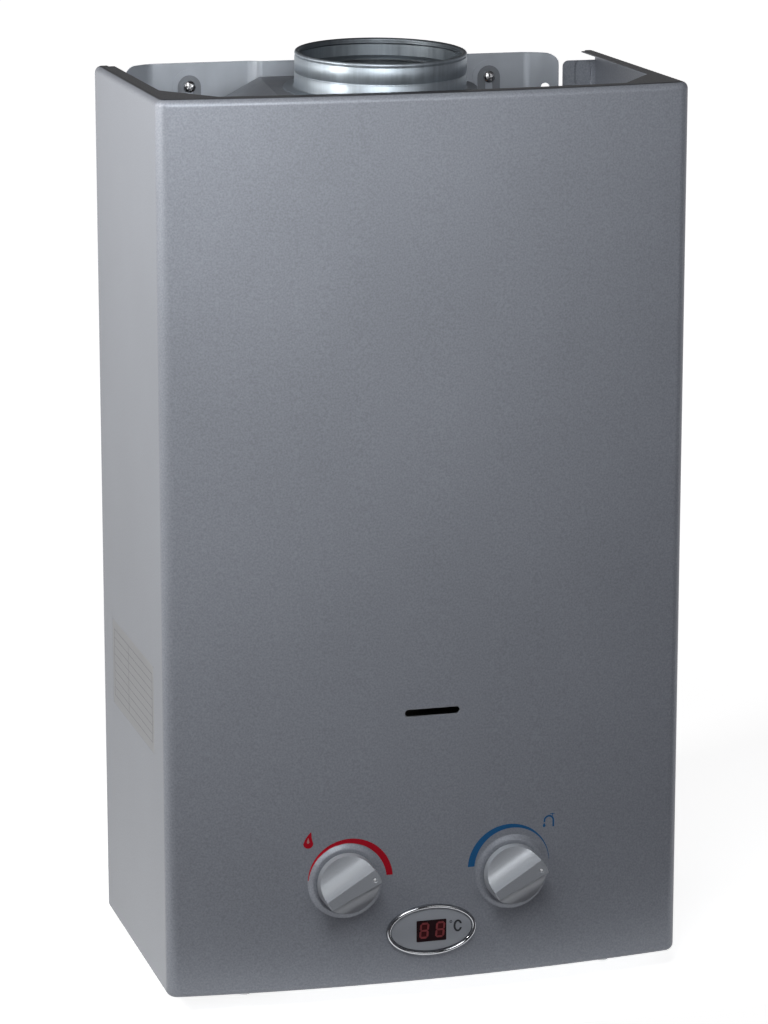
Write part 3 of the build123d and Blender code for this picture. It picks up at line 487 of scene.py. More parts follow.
def darkened(material, share, factor):
    """Darken a finish by this factor where the share is 1."""
    tree = material.node_tree
    base = tree.nodes["Principled BSDF"].inputs["Base Color"]
    mix = tree.nodes.new("ShaderNodeMix")
    mix.data_type = "RGBA"
    mix.blend_type = "MULTIPLY"
    mix.inputs["B"].default_value = (factor, factor, factor, 1)
    tree.links.new(share, mix.inputs["Factor"])
    tree.links.new(base.links[0].from_socket, mix.inputs["A"])
    tree.links.new(mix.outputs["Result"], base)


# Painted shade: the casing's paint is darkened near its top, so the turned lips along the top come out nearly
# black
lip_fade, lip_painted_shade = (0.55, 0.12), 0.14
tree = casing_paint.node_tree
lip_levels = [(casing_height - below - hang_height) / 1000 for below in lip_fade]
darkened(casing_paint, rising(tree, place_in(tree)["Z"], *lip_levels), lip_painted_shade)

# Painted shade: the collar's metal is darkened inside its leaning wall
inside_fade, inside_painted_shade = (0.6, 1.4), 0.4
tree = flue_metal.node_tree
x, y, z = (place_in(tree)[axis] for axis in "XYZ")
above_foot = reckon(tree, "ADD", z, (hang_height - collar_foot) / 1000)
forward = reckon(tree, "MULTIPLY", above_foot, math.tan(collar_lean))
y = reckon(tree, "ADD", reckon(tree, "ADD", y, collar_depth / 1000), forward)
squares = reckon(tree, "ADD", reckon(tree, "MULTIPLY", x, x), reckon(tree, "MULTIPLY", y, y))
inside_levels = [(collar_radius - inside) / 1000 for inside in inside_fade]
darkened(flue_metal, rising(tree, reckon(tree, "SQRT", squares), *inside_levels), inside_painted_shade)

FINISH = {
    "casing": casing_paint,
    "zinc": zinc,
    "flue": flue_metal,
    "copper": copper,
    "brass": brass,
    "die_cast": die_cast,
    "steel": steel,
    "stainless": stainless,
    "knob_plastic": knob_plastic,
    "bezel_chrome": chrome,
    "face_plastic": face_film,
    "window_plastic": window_lens,
    "board": board_green,
    "black_plastic": black_plastic,
    "white_plastic": white_plastic,
    "grey_plastic": grey_plastic,
    "ceramic": ceramic,
    "glass": pane,
    "membrane_rubber": rubber,
    "cell": cell_jacket,
}


def dress(piece, material):
    piece.data.materials.clear()
    piece.data.materials.append(material)


for part in frame["record"]["subparts"]:
    dress(frame["nodes"][part["node"]], FINISH[part["material_slot"]])


def stand_for(piece, node, body="root"):
    """A new piece takes the place and the finish of a CAD node."""
    slot = next(p["material_slot"] for p in frame["record"]["subparts"] if p["node"] == node)
    dress(piece, FINISH[slot])
    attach(piece, body)
    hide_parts(node)


def added(piece, material, body="root"):
    """A new piece that no CAD node has."""
    dress(piece, material)
    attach(piece, body)


# Casing

def seat(name, x, height, inset):
    """Pressed boss under a knob: a flat top and a soft flank that runs out into the bowed panel."""
    top, rim, foot = boss_front - inset, boss_rim - inset, boss_foot - inset
    under, sunk, steps = 4.0, 0.05, 14
    outline = [(foot, casing_depth - under)]
    outline += [(foot - (foot - rim) * i / steps, top) for i in range(steps + 1)]
    outline += [(rim - 6.0, top), (9.0, top)]
    boss = turned(name, at(x, 0, height), "front", outline, 144)
    for vertex in boss.data.vertices:
        here, depth, level = where(vertex)
        if depth > casing_depth:
            share = min(1.0, max(0.0, (foot - math.hypot(here - x, level - height)) / (foot - rim)))
            share = share * share * (3 - 2 * share)
            panel = casing_depth + bow(here) - inset
            vertex.co.y = -(panel - sunk + (top - panel + sunk) * share) / 1000
    return boss


def casing_form(name, inset):
    """Solid with the casing's outside, every face drawn in by the inset."""
    half = half_width - inset
    form = block(name, (-half, half), (casing_gap, casing_depth - inset), (inset, casing_height - inset))
    front, back, near = -(casing_depth - inset) / 1000, -casing_gap / 1000, 0.0001

    def level_rim(edge):
        """Whether a level edge in front of the back joins a level face to an upright one."""
        level = abs(edge.verts[0].co.z - edge.verts[1].co.z) < 1e-6
        kinds = {abs(face.normal.z) > 0.9 for face in edge.link_faces}
        return level and middle(edge).y < back - near and len(kinds) == 2

    bevel(form, lambda e: along(e, 2) and middle(e).y < front + near, corner_radius - inset, 12)
    bevel(form, level_rim, edge_radius - inset, 10)
    inner, steps = half_width - corner_radius, 36
    strips(form, [inner * i / steps for i in range(-steps, steps + 1)])
    bowed(form, casing_depth / 2)
    for x, height in dials:
        carve(form, seat("seat", x, height, inset), "UNION")
    return form


def obround(name, x, depth_span, height, length, width, upright=False):
    """Solid slot shape that points to the front."""
    half_x, half_z = (width / 2, length / 2) if upright else (length / 2, width / 2)
    solid = block(name, (x - half_x, x + half_x), depth_span, (height - half_z, height + half_z))
    bevel(solid, lambda e: along(e, 1), 0.4999 * width, 12)
    return solid


casing = casing_form("casing", 0.0)
carve(casing, casing_form("hollow", sheet))
# A cutter starts behind the casing, reaches this deep into a lip, and stands out past the outside
behind, reach, past = -20.0, 2.4, 5.0
top_level = (casing_height - reach, casing_height + past)
beyond_front = (casing_depth, apex + past)


def strip_places(span):
    return [span * i / 24 for i in range(-23, 24)]


# The open top between the lips, with a gusset in each front corner
lip = half_width - side_lip
way = block("way", (-lip, lip), (behind, casing_depth - side_lip), top_level)
strips(way, strip_places(lip))
bowed(way, casing_depth / 2)
gusset_x, gusset_depth = half_width - 40.0, casing_depth - 47.0
gusset_front = casing_depth + bow(gusset_x) - side_lip
for side in (-1, 1):
    run = Vector((lip - gusset_x, gusset_front - gusset_depth, 0))
    trim(way, at(side * lip, gusset_depth, casing_height), Vector((side * run.y, -run.x, 0)).normalized())
carve(casing, way)

# The side lips' rear ends are nipped back
nip_width, nip_depth = 4.0, 6.0
carve(casing, block("way", (-lip - nip_width, lip + nip_width), (behind, nip_depth), top_level))

# The open foot and the open back
foot_side, foot_lip = half_width - 10.0, 14.0
foot = block("way", (-foot_side, foot_side), (behind, casing_depth - foot_lip), (-past, reach))
strips(foot, strip_places(foot_side))
bowed(foot, casing_depth / 2)
carve(casing, foot)
back_deep, back_top = 2.6, 566.0
inside = half_width - sheet
carve(casing, block("way", (-inside, inside), (-past, back_deep), (edge_radius, back_top)))

# The view slot, and the holes for the spindles, the display and the two screws underneath
slot_length, slot_width = 36.0, 4.6
carve(casing, obround("way", 0, beyond_front, slot_height, slot_length, slot_width))
spindle_hole = [(7.0, depth) for depth in beyond_front]
for x, height in dials:
    carve(casing, turned("way", at(x, 0, height), "front", spindle_hole, 48))
display_hole = (26.0, 14.0)
carve(casing, rings("way", at(display_at[0], 0, display_at[1]), "front",
                    [(*display_hole, depth) for depth in beyond_front]))
cover_screw_spread, cover_screw_depth, cover_screw_hole = 120.0, 181.5, 2.2
for side in (-1, 1):
    place = at(side * cover_screw_spread, cover_screw_depth, 0)
    carve(casing, turned("way", place, "up", [(cover_screw_hole, level) for level in (-3.0, 3.0)], 32))

# Shallow bed for the plate on the left side
plate_span, plate_rise, plate_deep = (29.0, 154.0), (153.0, 210.0), 0.12
carve(casing, block("bed", (-half_width - 1, -half_width + plate_deep), plate_span, plate_rise))

# Rear flanges with pressed obround recesses
flange_sheet, flange_top, flange_corner = 1.6, 563.5, 4.0
recess_heights, recess_x = (555.0, 285.0, 20.0), half_width - 9.5
recess_length, recess_width, recess_depths = 20.0, 11.0, (1.3, 6.0)


def free_corner(edge):
    """Whether an edge is an outer corner of a flange, on the side away from the casing's wall."""
    return along(edge, 1) and abs(abs(edge.verts[0].co.x) * 1000 - half_width + rear_flange) < 0.01


def recess_rim(edge):
    """Whether an edge runs round a recess, on the flange's front."""
    in_front = middle(edge).y < -(casing_gap + flange_sheet - 0.1) / 1000
    return not along(edge, 1) and in_front and abs(abs(middle(edge).x) * 1000 - recess_x) < 6.0


flanges = []
for side in (-1, 1):
    span = sorted((side * (half_width - sheet / 2), side * (half_width - rear_flange)))
    flange = block("flange", span, (casing_gap, casing_gap + flange_sheet), (edge_radius, flange_top))
    bevel(flange, free_corner, flange_corner, 6)
    for height in recess_heights:
        press = obround("way", side * recess_x, recess_depths, height, recess_length, recess_width, True)
        carve(flange, press)
    bevel(flange, recess_rim, 0.7, 3)
    flanges.append(flange)
merge(casing, *flanges)
smooth(casing, 34.0)
flatten(casing)
stand_for(casing, "front_cover")


# Bare plate on the left side: a border and ruled rows, nothing written

plate_face, plate_corner = -half_width + 0.03, 2.0
plate = block("side_plate", (plate_face, -half_width + plate_deep), plate_span, plate_rise)
bevel(plate, lambda e: along(e, 0), plate_corner, 4)
smooth(plate, 30.0)
added(plate, plate_film)

rule_x, rule_height, rule_half_width = (-half_width, -half_width + 0.08), 0.35, 0.2
rows, row_pitch, row_margin = 9, 5.6, 6.0
column_depths, column_span = (34.0, 78.0, 149.0), (159.0, 204.0)
rules = []
for row in range(rows):
    height = plate_rise[0] + row_margin + row_pitch * row
    row_span = (column_depths[0], column_depths[-1])
    rules.append(block("side_rules", rule_x, row_span, (height, height + rule_height)))
for depth in column_depths:
    rules.append(block("side_rules", rule_x, (depth - rule_half_width, depth + rule_half_width), column_span))
rules = merge(*rules)
smooth(rules, 30.0, False)
added(rules, plate_ink)


# Chassis: the wall plate with soft folds, and the hood with a raised rim round each tab

def long_fold(edge):
    """Whether an edge is one of the wall plate's full-height folds."""
    if not along(edge, 2) or edge.calc_length() < 0.4 or len(edge.link_faces) != 2:
        return False
    return math.radians(20) < edge.calc_face_angle(0.0) < math.radians(60)


fold_radius = 3.0
wall_plate = refined("back_plate", "wall_plate")
bevel(wall_plate, long_fold, fold_radius, 4)
smooth(wall_plate, 34.0, False)
flatten(wall_plate)
stand_for(wall_plate, "back_plate")

hood = refined("draft_hood", "hood")
soften(hood, 0.9, 12.0, 3)
smooth(hood, 34.0, False)
flatten(hood)
stand_for(hood, "draft_hood")
# Painted shade: the hood wears the darker copy of the zinc, so the lighter tab rims stand out against it
dress(hood, zinc_painted_shade)

tab_width, tab_top, tab_foot = 15.2, 562.0, 520.0
rim_width, rim_depths, rim_start = 1.7, (2.0, 3.3), 14.0
through_rim = (1.0, 4.0)
for side in (-1, 1):
    x, height, length = chassis_x + side * tab_spread, (tab_top + tab_foot) / 2, tab_top - tab_foot
    tab_rim = obround("tab_rim", x, rim_depths, height, length, tab_width, True)
    bevel(tab_rim, lambda e: not along(e, 1) and middle(e).y < -0.0032, 0.5, 3)
    inner_length, inner_width = length - 2 * rim_width, tab_width - 2 * rim_width
    carve(tab_rim, obround("way", x, through_rim, height, inner_length, inner_width, True))
    carve(tab_rim, block("way", (x - 9, x + 9), through_rim, (tab_foot - 1, tab_foot + rim_start)))
    smooth(tab_rim, 34.0)
    added(tab_rim, zinc)

head_radius, head_edge, dome_height, head_seat = 3.9, 0.9, 1.8, 2.4
head_profile = [(2.0, 0.2), (2.0, head_seat), (head_radius, head_seat), (head_radius, head_seat + head_edge)]
for lift in [math.radians(degrees) for degrees in range(15, 90, 15)]:
    head_profile.append((head_radius * math.cos(lift), head_seat + head_edge + dome_height * math.sin(lift)))
cross_half, groove_half, cross_turn = 2.3, 0.5, 0.4
heads = []
for side in (-1, 1):
    centre = at(chassis_x + side * tab_spread, 0, hood_screw_height)
    head = turned("hood_screw", centre, "front", head_profile, 64)
    for turn in (cross_turn, cross_turn + math.pi / 2):
        cross = block("cross", (-cross_half, cross_half), (head_seat + 1.3, head_seat + 4),
                      (hang_height - groove_half, hang_height + groove_half))
        bevel(cross, lambda e: middle(e).y > -(head_seat + 1.4) / 1000 and along(e, 0), 0.35, 2)
        spun(cross, Vector((0, 0, 0)), turn)
        for vertex in cross.data.vertices:
            vertex.co += Vector((centre.x, 0, centre.z))
        carve(head, cross)
    heads.append(head)
hood_screws = merge(*heads)
smooth(hood_screws, 32.0)
stand_for(hood_screws, "hood_screws")


# Flue collar, drawn from one sheet

wall, bead, crease = 1.0, 1.5, 11.0
flange_inner, flange_outer, flange_round = 50.5, 62.0, 1.5
crease_start, crease_height, crease_deep = crease - 1.4, 2.0, 0.45
ledge_radius, neck_radius = collar_radius - 6.5, collar_radius - 0.35
inner_wall, rim_centre = collar_radius - wall, collar_rise - bead

# Up the outside: flange, round foot, crease, neck and rolled rim
profile = [(flange_inner, 0.0), (flange_outer, 0.0), (flange_outer, sheet)]
profile += [(collar_radius + flange_round, sheet)]
profile += arc((collar_radius + flange_round, sheet + flange_round), flange_round, -90, -180, 6)
profile += [(collar_radius, crease_start)]
for turn in [math.pi * i / 8 for i in range(1, 8)]:
    pressed_in = crease_deep * math.sin(turn)
    profile.append((collar_radius - pressed_in, crease_start + crease_height * turn / math.pi))
profile += [(collar_radius, crease + 0.6), (collar_radius, rim_centre - 2.4)]
profile += [(neck_radius, rim_centre - 1.8), (neck_radius, rim_centre - 1.2)]
profile += arc((collar_radius - bead, rim_centre), bead, -12, 192, 14)
# Down the inside: wall, ledge and back to the flange
profile += [(collar_radius - 2 * bead - 0.1, rim_centre - 1.6), (inner_wall - 1.4, rim_centre - 2.2)]
profile += [(inner_wall, rim_centre - 2.8), (inner_wall, crease + 1.6), (inner_wall - 1.2, crease + 0.6)]
profile += [(ledge_radius, crease), (ledge_radius, crease - sheet), (inner_wall - 1.0, crease - sheet - 0.4)]
profile += [(inner_wall - 0.6, sheet + 1.0), (flange_inner, sheet), (flange_inner, 0.0)]
collar = turned("collar", at(0, collar_depth, collar_foot), "up", profile, 160, False, collar_lean)
smooth(collar, 40.0)
stand_for(collar, "flue_collar")


# Knobs

knob_base = boss_front + 0.6


def circle_through(a, b, c):
    """Centre and radius of the circle through three points."""
    lift_b, lift_c = b[0] ** 2 + b[1] ** 2, c[0] ** 2 + c[1] ** 2
    lift_a = a[0] ** 2 + a[1] ** 2
    twice = 2 * (a[0] * (b[1] - c[1]) + b[0] * (c[1] - a[1]) + c[0] * (a[1] - b[1]))
    x = (lift_a * (b[1] - c[1]) + lift_b * (c[1] - a[1]) + lift_c * (a[1] - b[1])) / twice
    y = (lift_a * (c[0] - b[0]) + lift_b * (a[0] - c[0]) + lift_c * (b[0] - a[0])) / twice
    return x, y, math.hypot(a[0] - x, a[1] - y)


# A flank's section: from the grip's ridge, through a place halfway down, to the skirt
flank_foot, flank_middle = 15.6, (4.4, 0.55 * knob_proud)
flank_x, flank_y, flank_radius = circle_through((0.0, knob_proud), flank_middle, (flank_foot, skirt))


def hollow(x, middle_height, side):
    """Solid that cuts one hollow flank: thin at the grip's ridge, deep towards the rim."""
    low, high, steps, crowding = middle_height + half_bar, middle_height + half_bar + 22.0, 22, 1.7
    solid = block("flank", (x - 32, x + 32), (knob_base + skirt, knob_base + knob_proud + 4), (low, high))
    only(solid)
    bpy.ops.object.mode_set(mode="EDIT")
    for i in range(1, steps + 1):
        cut = at(0, 0, low + flank_foot * (i / steps) ** crowding)
        bpy.ops.mesh.select_all(action="SELECT")
        bpy.ops.mesh.bisect(plane_co=cut, plane_no=(0, 0, 1))
    leave()
    for vertex in solid.data.vertices:
        _, depth, height = where(vertex)
        out = height - low
        if depth < knob_base + skirt + 0.01 and out < flank_foot - 0.001:
            rise = flank_y - math.sqrt(flank_radius ** 2 - (out - flank_x) ** 2)
            vertex.co.y = -(knob_base + rise) / 1000
    turn = knob_angle + ridge_lean if side > 0 else knob_angle - ridge_lean + math.pi
    spun(solid, at(x, 0, middle_height), turn)
    return solid


def knob(name, x, height, node, body):
    """Control knob: a short cone, two hollow flanks that leave a grip bar, and a dimple with a white dot."""
    edge = 0.5
    outline = [(knob_radius - edge, 0.0), (knob_radius, edge)]
    outline += [(knob_top_radius, knob_proud - edge), (knob_top_radius - edge, knob_proud)]
    piece = turned(name, at(x, knob_base, height), "front", outline, 144)
    for side in (-1, 1):
        carve(piece, hollow(x, height, side))
    dot_out, dot_turn, dot_radius = 0.0147, math.radians(25.0), 1.0
    dot_place = at(x, knob_base, height) + Vector((math.cos(dot_turn), 0, math.sin(dot_turn))) * dot_out
    dimple_width, dimple_deep = 0.85, 0.5
    dimple = [(dot_radius + dimple_width * i / 5, knob_proud - dimple_deep * math.cos(math.radians(18.0 * i)))
              for i in range(6)]
    dimple.append((dot_radius + dimple_width, knob_proud + 1))
    carve(piece, turned("dimple", dot_place, "front", dimple, 40))
    smooth(piece, 30.0)
    soften(piece, 0.5, 34.0, 2)
    stand_for(piece, node, body)
    crown = [(dot_radius, knob_proud - 1.0), (dot_radius, knob_proud - 0.3)]
    crown += [(0.85, knob_proud - 0.1), (0.45, knob_proud)]
    dot = turned(name + "_dot", dot_place, "front", crown, 32)
    smooth(dot, 60.0)
    added(dot, dot_white, body)


knob("gas_dial", *gas_dial_at, "gas_knob", "gas_knob")
knob("water_dial", *water_dial_at, "water_knob", "water_knob")


# Display

# Oval bezel: every ring is given by how far it lies inside the bezel's outline
display_centre = at(display_at[0], 0, display_at[1])
bezel_half, bead_half, bead_level, bead_rise = (29.7, 17.0), 1.35, apex + 0.8, 1.7


def bezel_ring(inwards, place):
    return bezel_half[0] - inwards, bezel_half[1] - inwards, place


bezel_steps = [bezel_ring(3.4, apex - 5.5), bezel_ring(0.0, apex - 0.6), bezel_ring(0.0, apex + 0.6)]
for turn in [math.radians(12 * i) for i in range(16)]:
    inwards = bead_half - bead_half * math.cos(turn)
    bezel_steps.append(bezel_ring(inwards, bead_level + bead_rise * math.sin(turn)))
bezel_steps += [bezel_ring(3.1, apex + 0.3), bezel_ring(3.4, apex - 5.5)]
bezel = rings("bezel", display_centre, "front", bezel_steps, 160, False)
smooth(bezel, 40.0)
stand_for(bezel, "display_bezel")

face = rings("display_plate", display_centre, "front",
             [(26.7, 14.0, apex - 0.8), (26.7, 14.0, apex + 0.9), (26.5, 13.8, apex + 1.0)], 160)
smooth(face, 40.0)
stand_for(face, "display_face")

lens = block("display_lens", (-10.5, 9.3), (apex - 5, apex + 1.3), (27.5, 41.7))
bevel(lens, lambda e: along(e, 1), 0.5, 3)
smooth(lens, 30.0)
soften(lens, 0.1)
stand_for(lens, "display_window")


def patch(name, x_span, height_span, lift=0.1, chamfer=0.0):
    """Thin printed block on the display, this far proud of its window."""
    bar = block(name, x_span, (apex + 1.2, apex + 1.3 + lift), height_span)
    if chamfer:
        bevel(bar, lambda e: along(e, 1), chamfer, 1)
    return bar


def slanted(piece, foot_height):
    """Lean a figure to the right, as such displays have them."""
    slant = 0.09
    for vertex in piece.data.vertices:
        vertex.co.x += slant * (vertex.co.z - at(0, 0, foot_height).z)


def digit(name, x, height):
    """Unlit seven-segment figure with all its bars, over two dim cells."""
    wide, tall, thick, gap, margin = 4.7, 9.3, 1.35, 0.12, 1.1
    bar_lift, cell_lift, bar_tip = 0.12, 0.06, 0.48 * thick
    bars, cells = [], []
    for level in (height, height + tall / 2, height + tall):
        rise = (level - thick / 2, level + thick / 2)
        bars.append(patch(name, (x + gap, x + wide - gap), rise, bar_lift, bar_tip))
    for left in (x, x + wide):
        for level in (height, height + tall / 2):
            span, rise = (left - thick / 2, left + thick / 2), (level + gap, level + tall / 2 - gap)
            bars.append(patch(name, span, rise, bar_lift, bar_tip))
    for level in (height, height + tall / 2):
        span, rise = (x + margin, x + wide - margin), (level + margin, level + tall / 2 - margin)
        cells.append(patch(name + "_cells", span, rise, cell_lift))
    for parts, material in ((bars, digit_red), (cells, cell_red)):
        figure = merge(*parts)
        slanted(figure, height)
        smooth(figure, 30.0)
        added(figure, material)


digit("tens_figure", -8.2, 30.3)
digit("units_figure", 2.4, 30.3)

def flat_hoop(name, centre, inner, outer, sides):
    """Thin printed hoop on the display's face, between two ovals."""
    foot, top = apex + 0.9, apex + 1.08
    steps = [(*inner, foot), (*outer, foot), (*outer, top), (*inner, top), (*inner, foot)]
    return rings(name, centre, "front", steps, sides, False)


# Degree ring and the letter beside it
ring = flat_hoop("degree_ring", at(12.4, 0, 39.4), (0.45, 0.45), (0.9, 0.9), 24)
letter = flat_hoop("unit_letter", at(17.0, 0, 36.3), (1.55, 2.75), (2.85, 4.0), 48)
smooth(letter, 30.0)
carve(letter, block("gap", (18.0, 21.0), (apex, apex + 2), (35.0, 37.6)))
unit = merge(ring, letter)
smooth(unit, 30.0)
added(unit, print_dark)


# Prints on the casing

in_front = apex + 4


def flat_ring(name, centre_x, centre_height, outer, inner, shift=(0.0, 0.0), sides=160):
    """Flat ring in front of the casing; its inner circle may sit off centre."""
    bpy.ops.object.select_all(action="DESELECT")
    centre = at(centre_x, in_front, centre_height)
    bpy.ops.mesh.primitive_circle_add(vertices=sides, radius=outer / 1000, fill_type="NOTHING",
                                      location=centre)
    bpy.context.active_object.rotation_euler = (math.pi / 2, 0, 0)
    piece = settle(name)
    bpy.ops.object.mode_set(mode="EDIT")
    bpy.ops.mesh.select_mode(type="EDGE")
    bpy.ops.mesh.select_all(action="SELECT")
    bpy.ops.mesh.extrude_edges_move()
    bpy.ops.transform.resize(value=(inner / outer, 1, inner / outer), center_override=centre)
    bpy.ops.transform.translate(value=(shift[0] / 1000, 0, shift[1] / 1000))
    leave()

    def spoke(edge):
        """Whether an edge runs from the outer circle to the inner one."""
        near, far = [(vertex.co - centre).length for vertex in edge.verts]
        return abs(near - far) > 0.00015

    pick(piece, spoke)
    bpy.ops.mesh.subdivide(number_cuts=2)
    leave()
    return piece


def cut_below(piece, height):
    """Cut away the part of a flat shape that lies below a height."""
    only(piece)
    bpy.ops.object.mode_set(mode="EDIT")
    bpy.ops.mesh.select_all(action="SELECT")
    bpy.ops.mesh.bisect(plane_co=at(0, 0, height), plane_no=(0, 0, -1), clear_outer=True)
    leave()


def flat_disc(name, centre_x, centre_height, radius, sides):
    bpy.ops.object.select_all(action="DESELECT")
    bpy.ops.mesh.primitive_circle_add(vertices=sides, radius=radius / 1000, fill_type="NGON",
                                      location=at(centre_x, in_front, centre_height))
    bpy.context.active_object.rotation_euler = (math.pi / 2, 0, 0)
    return settle(name)


def flat_bar(name, x_span, height_span):
    bpy.ops.object.select_all(action="DESELECT")
    centre = at(sum(x_span) / 2, in_front, sum(height_span) / 2)
    bpy.ops.mesh.primitive_plane_add(size=0.001, location=centre, rotation=(math.pi / 2, 0, 0))
    bpy.context.active_object.scale = (x_span[1] - x_span[0], height_span[1] - height_span[0], 1)
    return settle(name)


def printed(piece, material, lift=0.05):
    """Lay a flat shape on the casing as a thin layer of ink."""
    only(piece)
    wrap = piece.modifiers.new("lay", "SHRINKWRAP")
    wrap.target = casing
    wrap.wrap_method = "PROJECT"
    wrap.use_project_y = True
    wrap.use_project_x = False
    wrap.use_project_z = False
    wrap.use_positive_direction = True
    wrap.use_negative_direction = False
    bpy.ops.object.modifier_apply(modifier=wrap.name)
    for vertex in piece.data.vertices:
        vertex.co.y -= lift / 1000
    smooth(piece, 40.0, False)
    for polygon in piece.data.polygons:
        if polygon.normal.y > 0:
            polygon.flip()
    added(piece, material)


red_scale = flat_ring("red_scale", -53.5, 72.3, 27.6, 25.4, (-1.85, -0.8))
cut_below(red_scale, 74.0)
blue_scale = flat_ring("blue_scale", 51.5, 72.9, 27.7, 25.35, (2.1, -0.3))
cut_below(blue_scale, 74.4)
printed(red_scale, print_red)
printed(blue_scale, print_blue)


def drop(name, x, height, radius, top, sway, material, lift=0.05):
    """Drop or flame outline: a disc whose upper half is drawn up to a tip that sways aside."""
    shape = flat_disc(name, x, height, radius, 40)
    for vertex in shape.data.vertices:
        here, _, level = where(vertex)
        share = min(1.0, max(0.0, (level - height) / radius))
        drawn = height + share ** 1.4 * (top - height) if share > 0 else level
        narrow = (1 - share) ** 0.35 if share > 0 else 1.0
        vertex.co.x = (x + (here - x) * narrow + sway * share ** 3) / 1000
        vertex.co.z = (drawn - hang_height) / 1000
    printed(shape, material, lift)


drop("flame_print", -80.6, 98.4, 3.2, 106.0, 1.9, print_red)
drop("flame_tongue", -80.7, 99.4, 0.85, 102.2, 0.2, print_pale, 0.08)
arch_x, arch_height = 78.7, 100.2
arch = flat_ring("tap_print", arch_x, arch_height, 3.6, 2.5, sides=64)
cut_below(arch, arch_height)
leg = flat_bar("leg", (81.2, 82.3), (96.0, arch_height))
spout = flat_bar("spout", (75.1, 76.2), (99.4, arch_height))
handle = flat_bar("handle", (79.6, 82.6), (104.3, 104.8))
stem = flat_bar("stem", (80.9, 81.4), (103.0, 104.4))
tap = merge(arch, leg, spout, handle, stem)
printed(tap, print_blue)
drop("tap_drop", 75.5, 97.0, 0.95, 98.9, 0.0, print_blue)


# Camera

camera_data = bpy.data.cameras.new("camera")
camera = bpy.data.objects.new("camera", camera_data)
bpy.context.scene.collection.objects.link(camera)
bpy.context.scene.camera = camera
view_turn, view_lift = math.radians(-15.676), math.radians(13.193)
view_distance = 2.5279
view_target = Vector((-0.0038, -0.0974, -0.2135))
level = math.cos(view_lift)
backwards = Vector((math.sin(view_turn) * level, -math.cos(view_turn) * level, math.sin(view_lift)))
camera.location = view_target + backwards * view_distance
camera.rotation_mode = "QUATERNION"
camera.rotation_quaternion = (-backwards).to_track_quat("-Z", "Y")
camera_data.lens = 137.2
camera_data.clip_start = 0.05
camera_data.clip_end = 50


# White surroundings: what the camera, glass and metal see of them is white, and the floor keeps its shadow

def emptied(holder):
    holder.use_nodes = True
    holder.node_tree.nodes.clear()
    return holder.node_tree


floor_level = cad_box[0][2]
floor_span, floor_run = (-7.0, 7.0), (-0.26, 7.0)
bpy.ops.object.select_all(action="DESELECT")
bpy.ops.mesh.primitive_plane_add(size=1, location=(0, sum(floor_run) / 2, floor_level))
bpy.context.active_object.scale = (floor_span[1] - floor_span[0], floor_run[1] - floor_run[0], 1)
floor = settle("floor")
floor_material = bpy.data.materials.new("floor")
tree = emptied(floor_material)
rays = tree.nodes.new("ShaderNodeLightPath")
out = tree.nodes.new("ShaderNodeOutputMaterial")
matte = tree.nodes.new("ShaderNodeBsdfDiffuse")
matte.inputs["Color"].default_value = (0.9, 0.9, 0.9, 1)
dull = tree.nodes.new("ShaderNodeBsdfDiffuse")
dull.inputs["Color"].default_value = (0.2, 0.2, 0.2, 1)
glow = tree.nodes.new("ShaderNodeEmission")
# The floor's glow grows to full white with the distance from the heater
near_glow, glow_from, glow_to = 0.86, 0.75, 1.5
away = tree.nodes.new("ShaderNodeVectorMath")
away.operation = "LENGTH"
tree.links.new(tree.nodes.new("ShaderNodeTexCoord").outputs["Object"], away.inputs[0])
extra = reckon(tree, "MULTIPLY", rising(tree, away.outputs["Value"], glow_from, glow_to), 1 - near_glow)
tree.links.new(reckon(tree, "ADD", extra, near_glow), glow.inputs["Strength"])
lit = tree.nodes.new("ShaderNodeAddShader")
mixer = tree.nodes.new("ShaderNodeMixShader")
seen = reckon(tree, "MAXIMUM", rays.outputs["Is Camera Ray"], rays.outputs["Is Glossy Ray"])
seen = reckon(tree, "MAXIMUM", seen, rays.outputs["Is Transmission Ray"])
tree.links.new(matte.outputs[0], lit.inputs[0])
tree.links.new(glow.outputs[0], lit.inputs[1])
tree.links.new(seen, mixer.inputs[0])
tree.links.new(dull.outputs[0], mixer.inputs[1])
tree.links.new(lit.outputs[0], mixer.inputs[2])
tree.links.new(mixer.outputs[0], out.inputs[0])
floor.data.materials.append(floor_material)

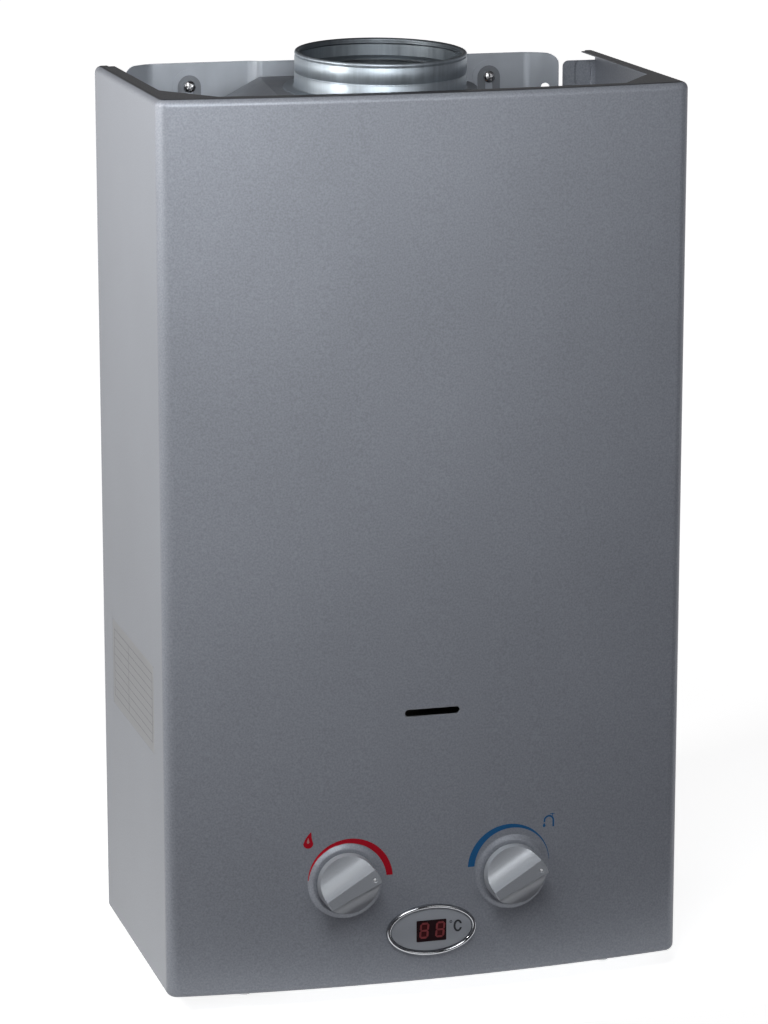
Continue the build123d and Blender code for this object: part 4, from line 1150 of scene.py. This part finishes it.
world = bpy.data.worlds.new("studio")
bpy.context.scene.world = world
tree = emptied(world)
rays = tree.nodes.new("ShaderNodeLightPath")
out = tree.nodes.new("ShaderNodeOutputWorld")
direction = tree.nodes.new("ShaderNodeSeparateXYZ")
tree.links.new(tree.nodes.new("ShaderNodeTexCoord").outputs["Generated"], direction.inputs[0])
white = tree.nodes.new("ShaderNodeBackground")
white.inputs["Color"].default_value = (1, 1, 1, 1)
fill = tree.nodes.new("ShaderNodeBackground")
fill.inputs["Color"].default_value = (0.95, 0.92, 1.0, 1)
fill_level, overhead_drop = 0.11, -0.08
overhead = reckon(tree, "MULTIPLY", rising(tree, direction.outputs["Z"], 0.1, 0.7), overhead_drop)
tree.links.new(reckon(tree, "ADD", overhead, fill_level), fill.inputs["Strength"])
mixer = tree.nodes.new("ShaderNodeMixShader")
# Metal sees the white sheet behind the heater and under it, and the darker room in front
sheet_side = reckon(tree, "MULTIPLY", rising(tree, direction.outputs["Y"], 0.15, 0.5),
                    rising(tree, direction.outputs["Z"], 0.2, 0.02))
seen = reckon(tree, "MAXIMUM", rays.outputs["Is Camera Ray"], rays.outputs["Is Transmission Ray"])
seen = reckon(tree, "MAXIMUM", seen, reckon(tree, "MULTIPLY", rays.outputs["Is Glossy Ray"], sheet_side))
tree.links.new(seen, mixer.inputs[0])
tree.links.new(fill.outputs[0], mixer.inputs[1])
tree.links.new(white.outputs[0], mixer.inputs[2])
tree.links.new(mixer.outputs[0], out.inputs[0])


def lamp(name, place, target, size, power, color=(1, 1, 1)):
    data = bpy.data.lights.new(name, "AREA")
    data.shape = "RECTANGLE"
    data.size, data.size_y = size
    data.energy = power
    data.color = color
    source = bpy.data.objects.new(name, data)
    bpy.context.scene.collection.objects.link(source)
    source.location = place
    source.rotation_mode = "QUATERNION"
    source.rotation_quaternion = (Vector(target) - Vector(place)).to_track_quat("-Z", "Y")
    source.visible_camera = False


lamp("key_lamp", (-0.18, -0.75, 0.26), (-0.08, -0.2, -0.1), (0.4, 0.3), 3.0, (0.98, 1.0, 1.0))
lamp("side_lamp", (-0.42, -0.02, 0.09), (-0.17, -0.09, 0.0), (0.15, 0.15), 0.35, (1.0, 0.98, 0.95))
lamp("edge_lamp", (-0.75, -0.34, 0.2), (-0.17, -0.18, 0.06), (0.08, 0.34), 3.6, (1.0, 0.99, 0.96))
lamp("room_lamp", (0.9, -2.2, 0.5), (0, -0.1, -0.2), (0.7, 0.7), 4.0)
lamp("top_lamp", (-0.5, -0.75, 0.95), (-0.02, -0.15, -0.1), (0.4, 0.3), 2.3)

bpy.context.scene.view_settings.view_transform = "Standard"
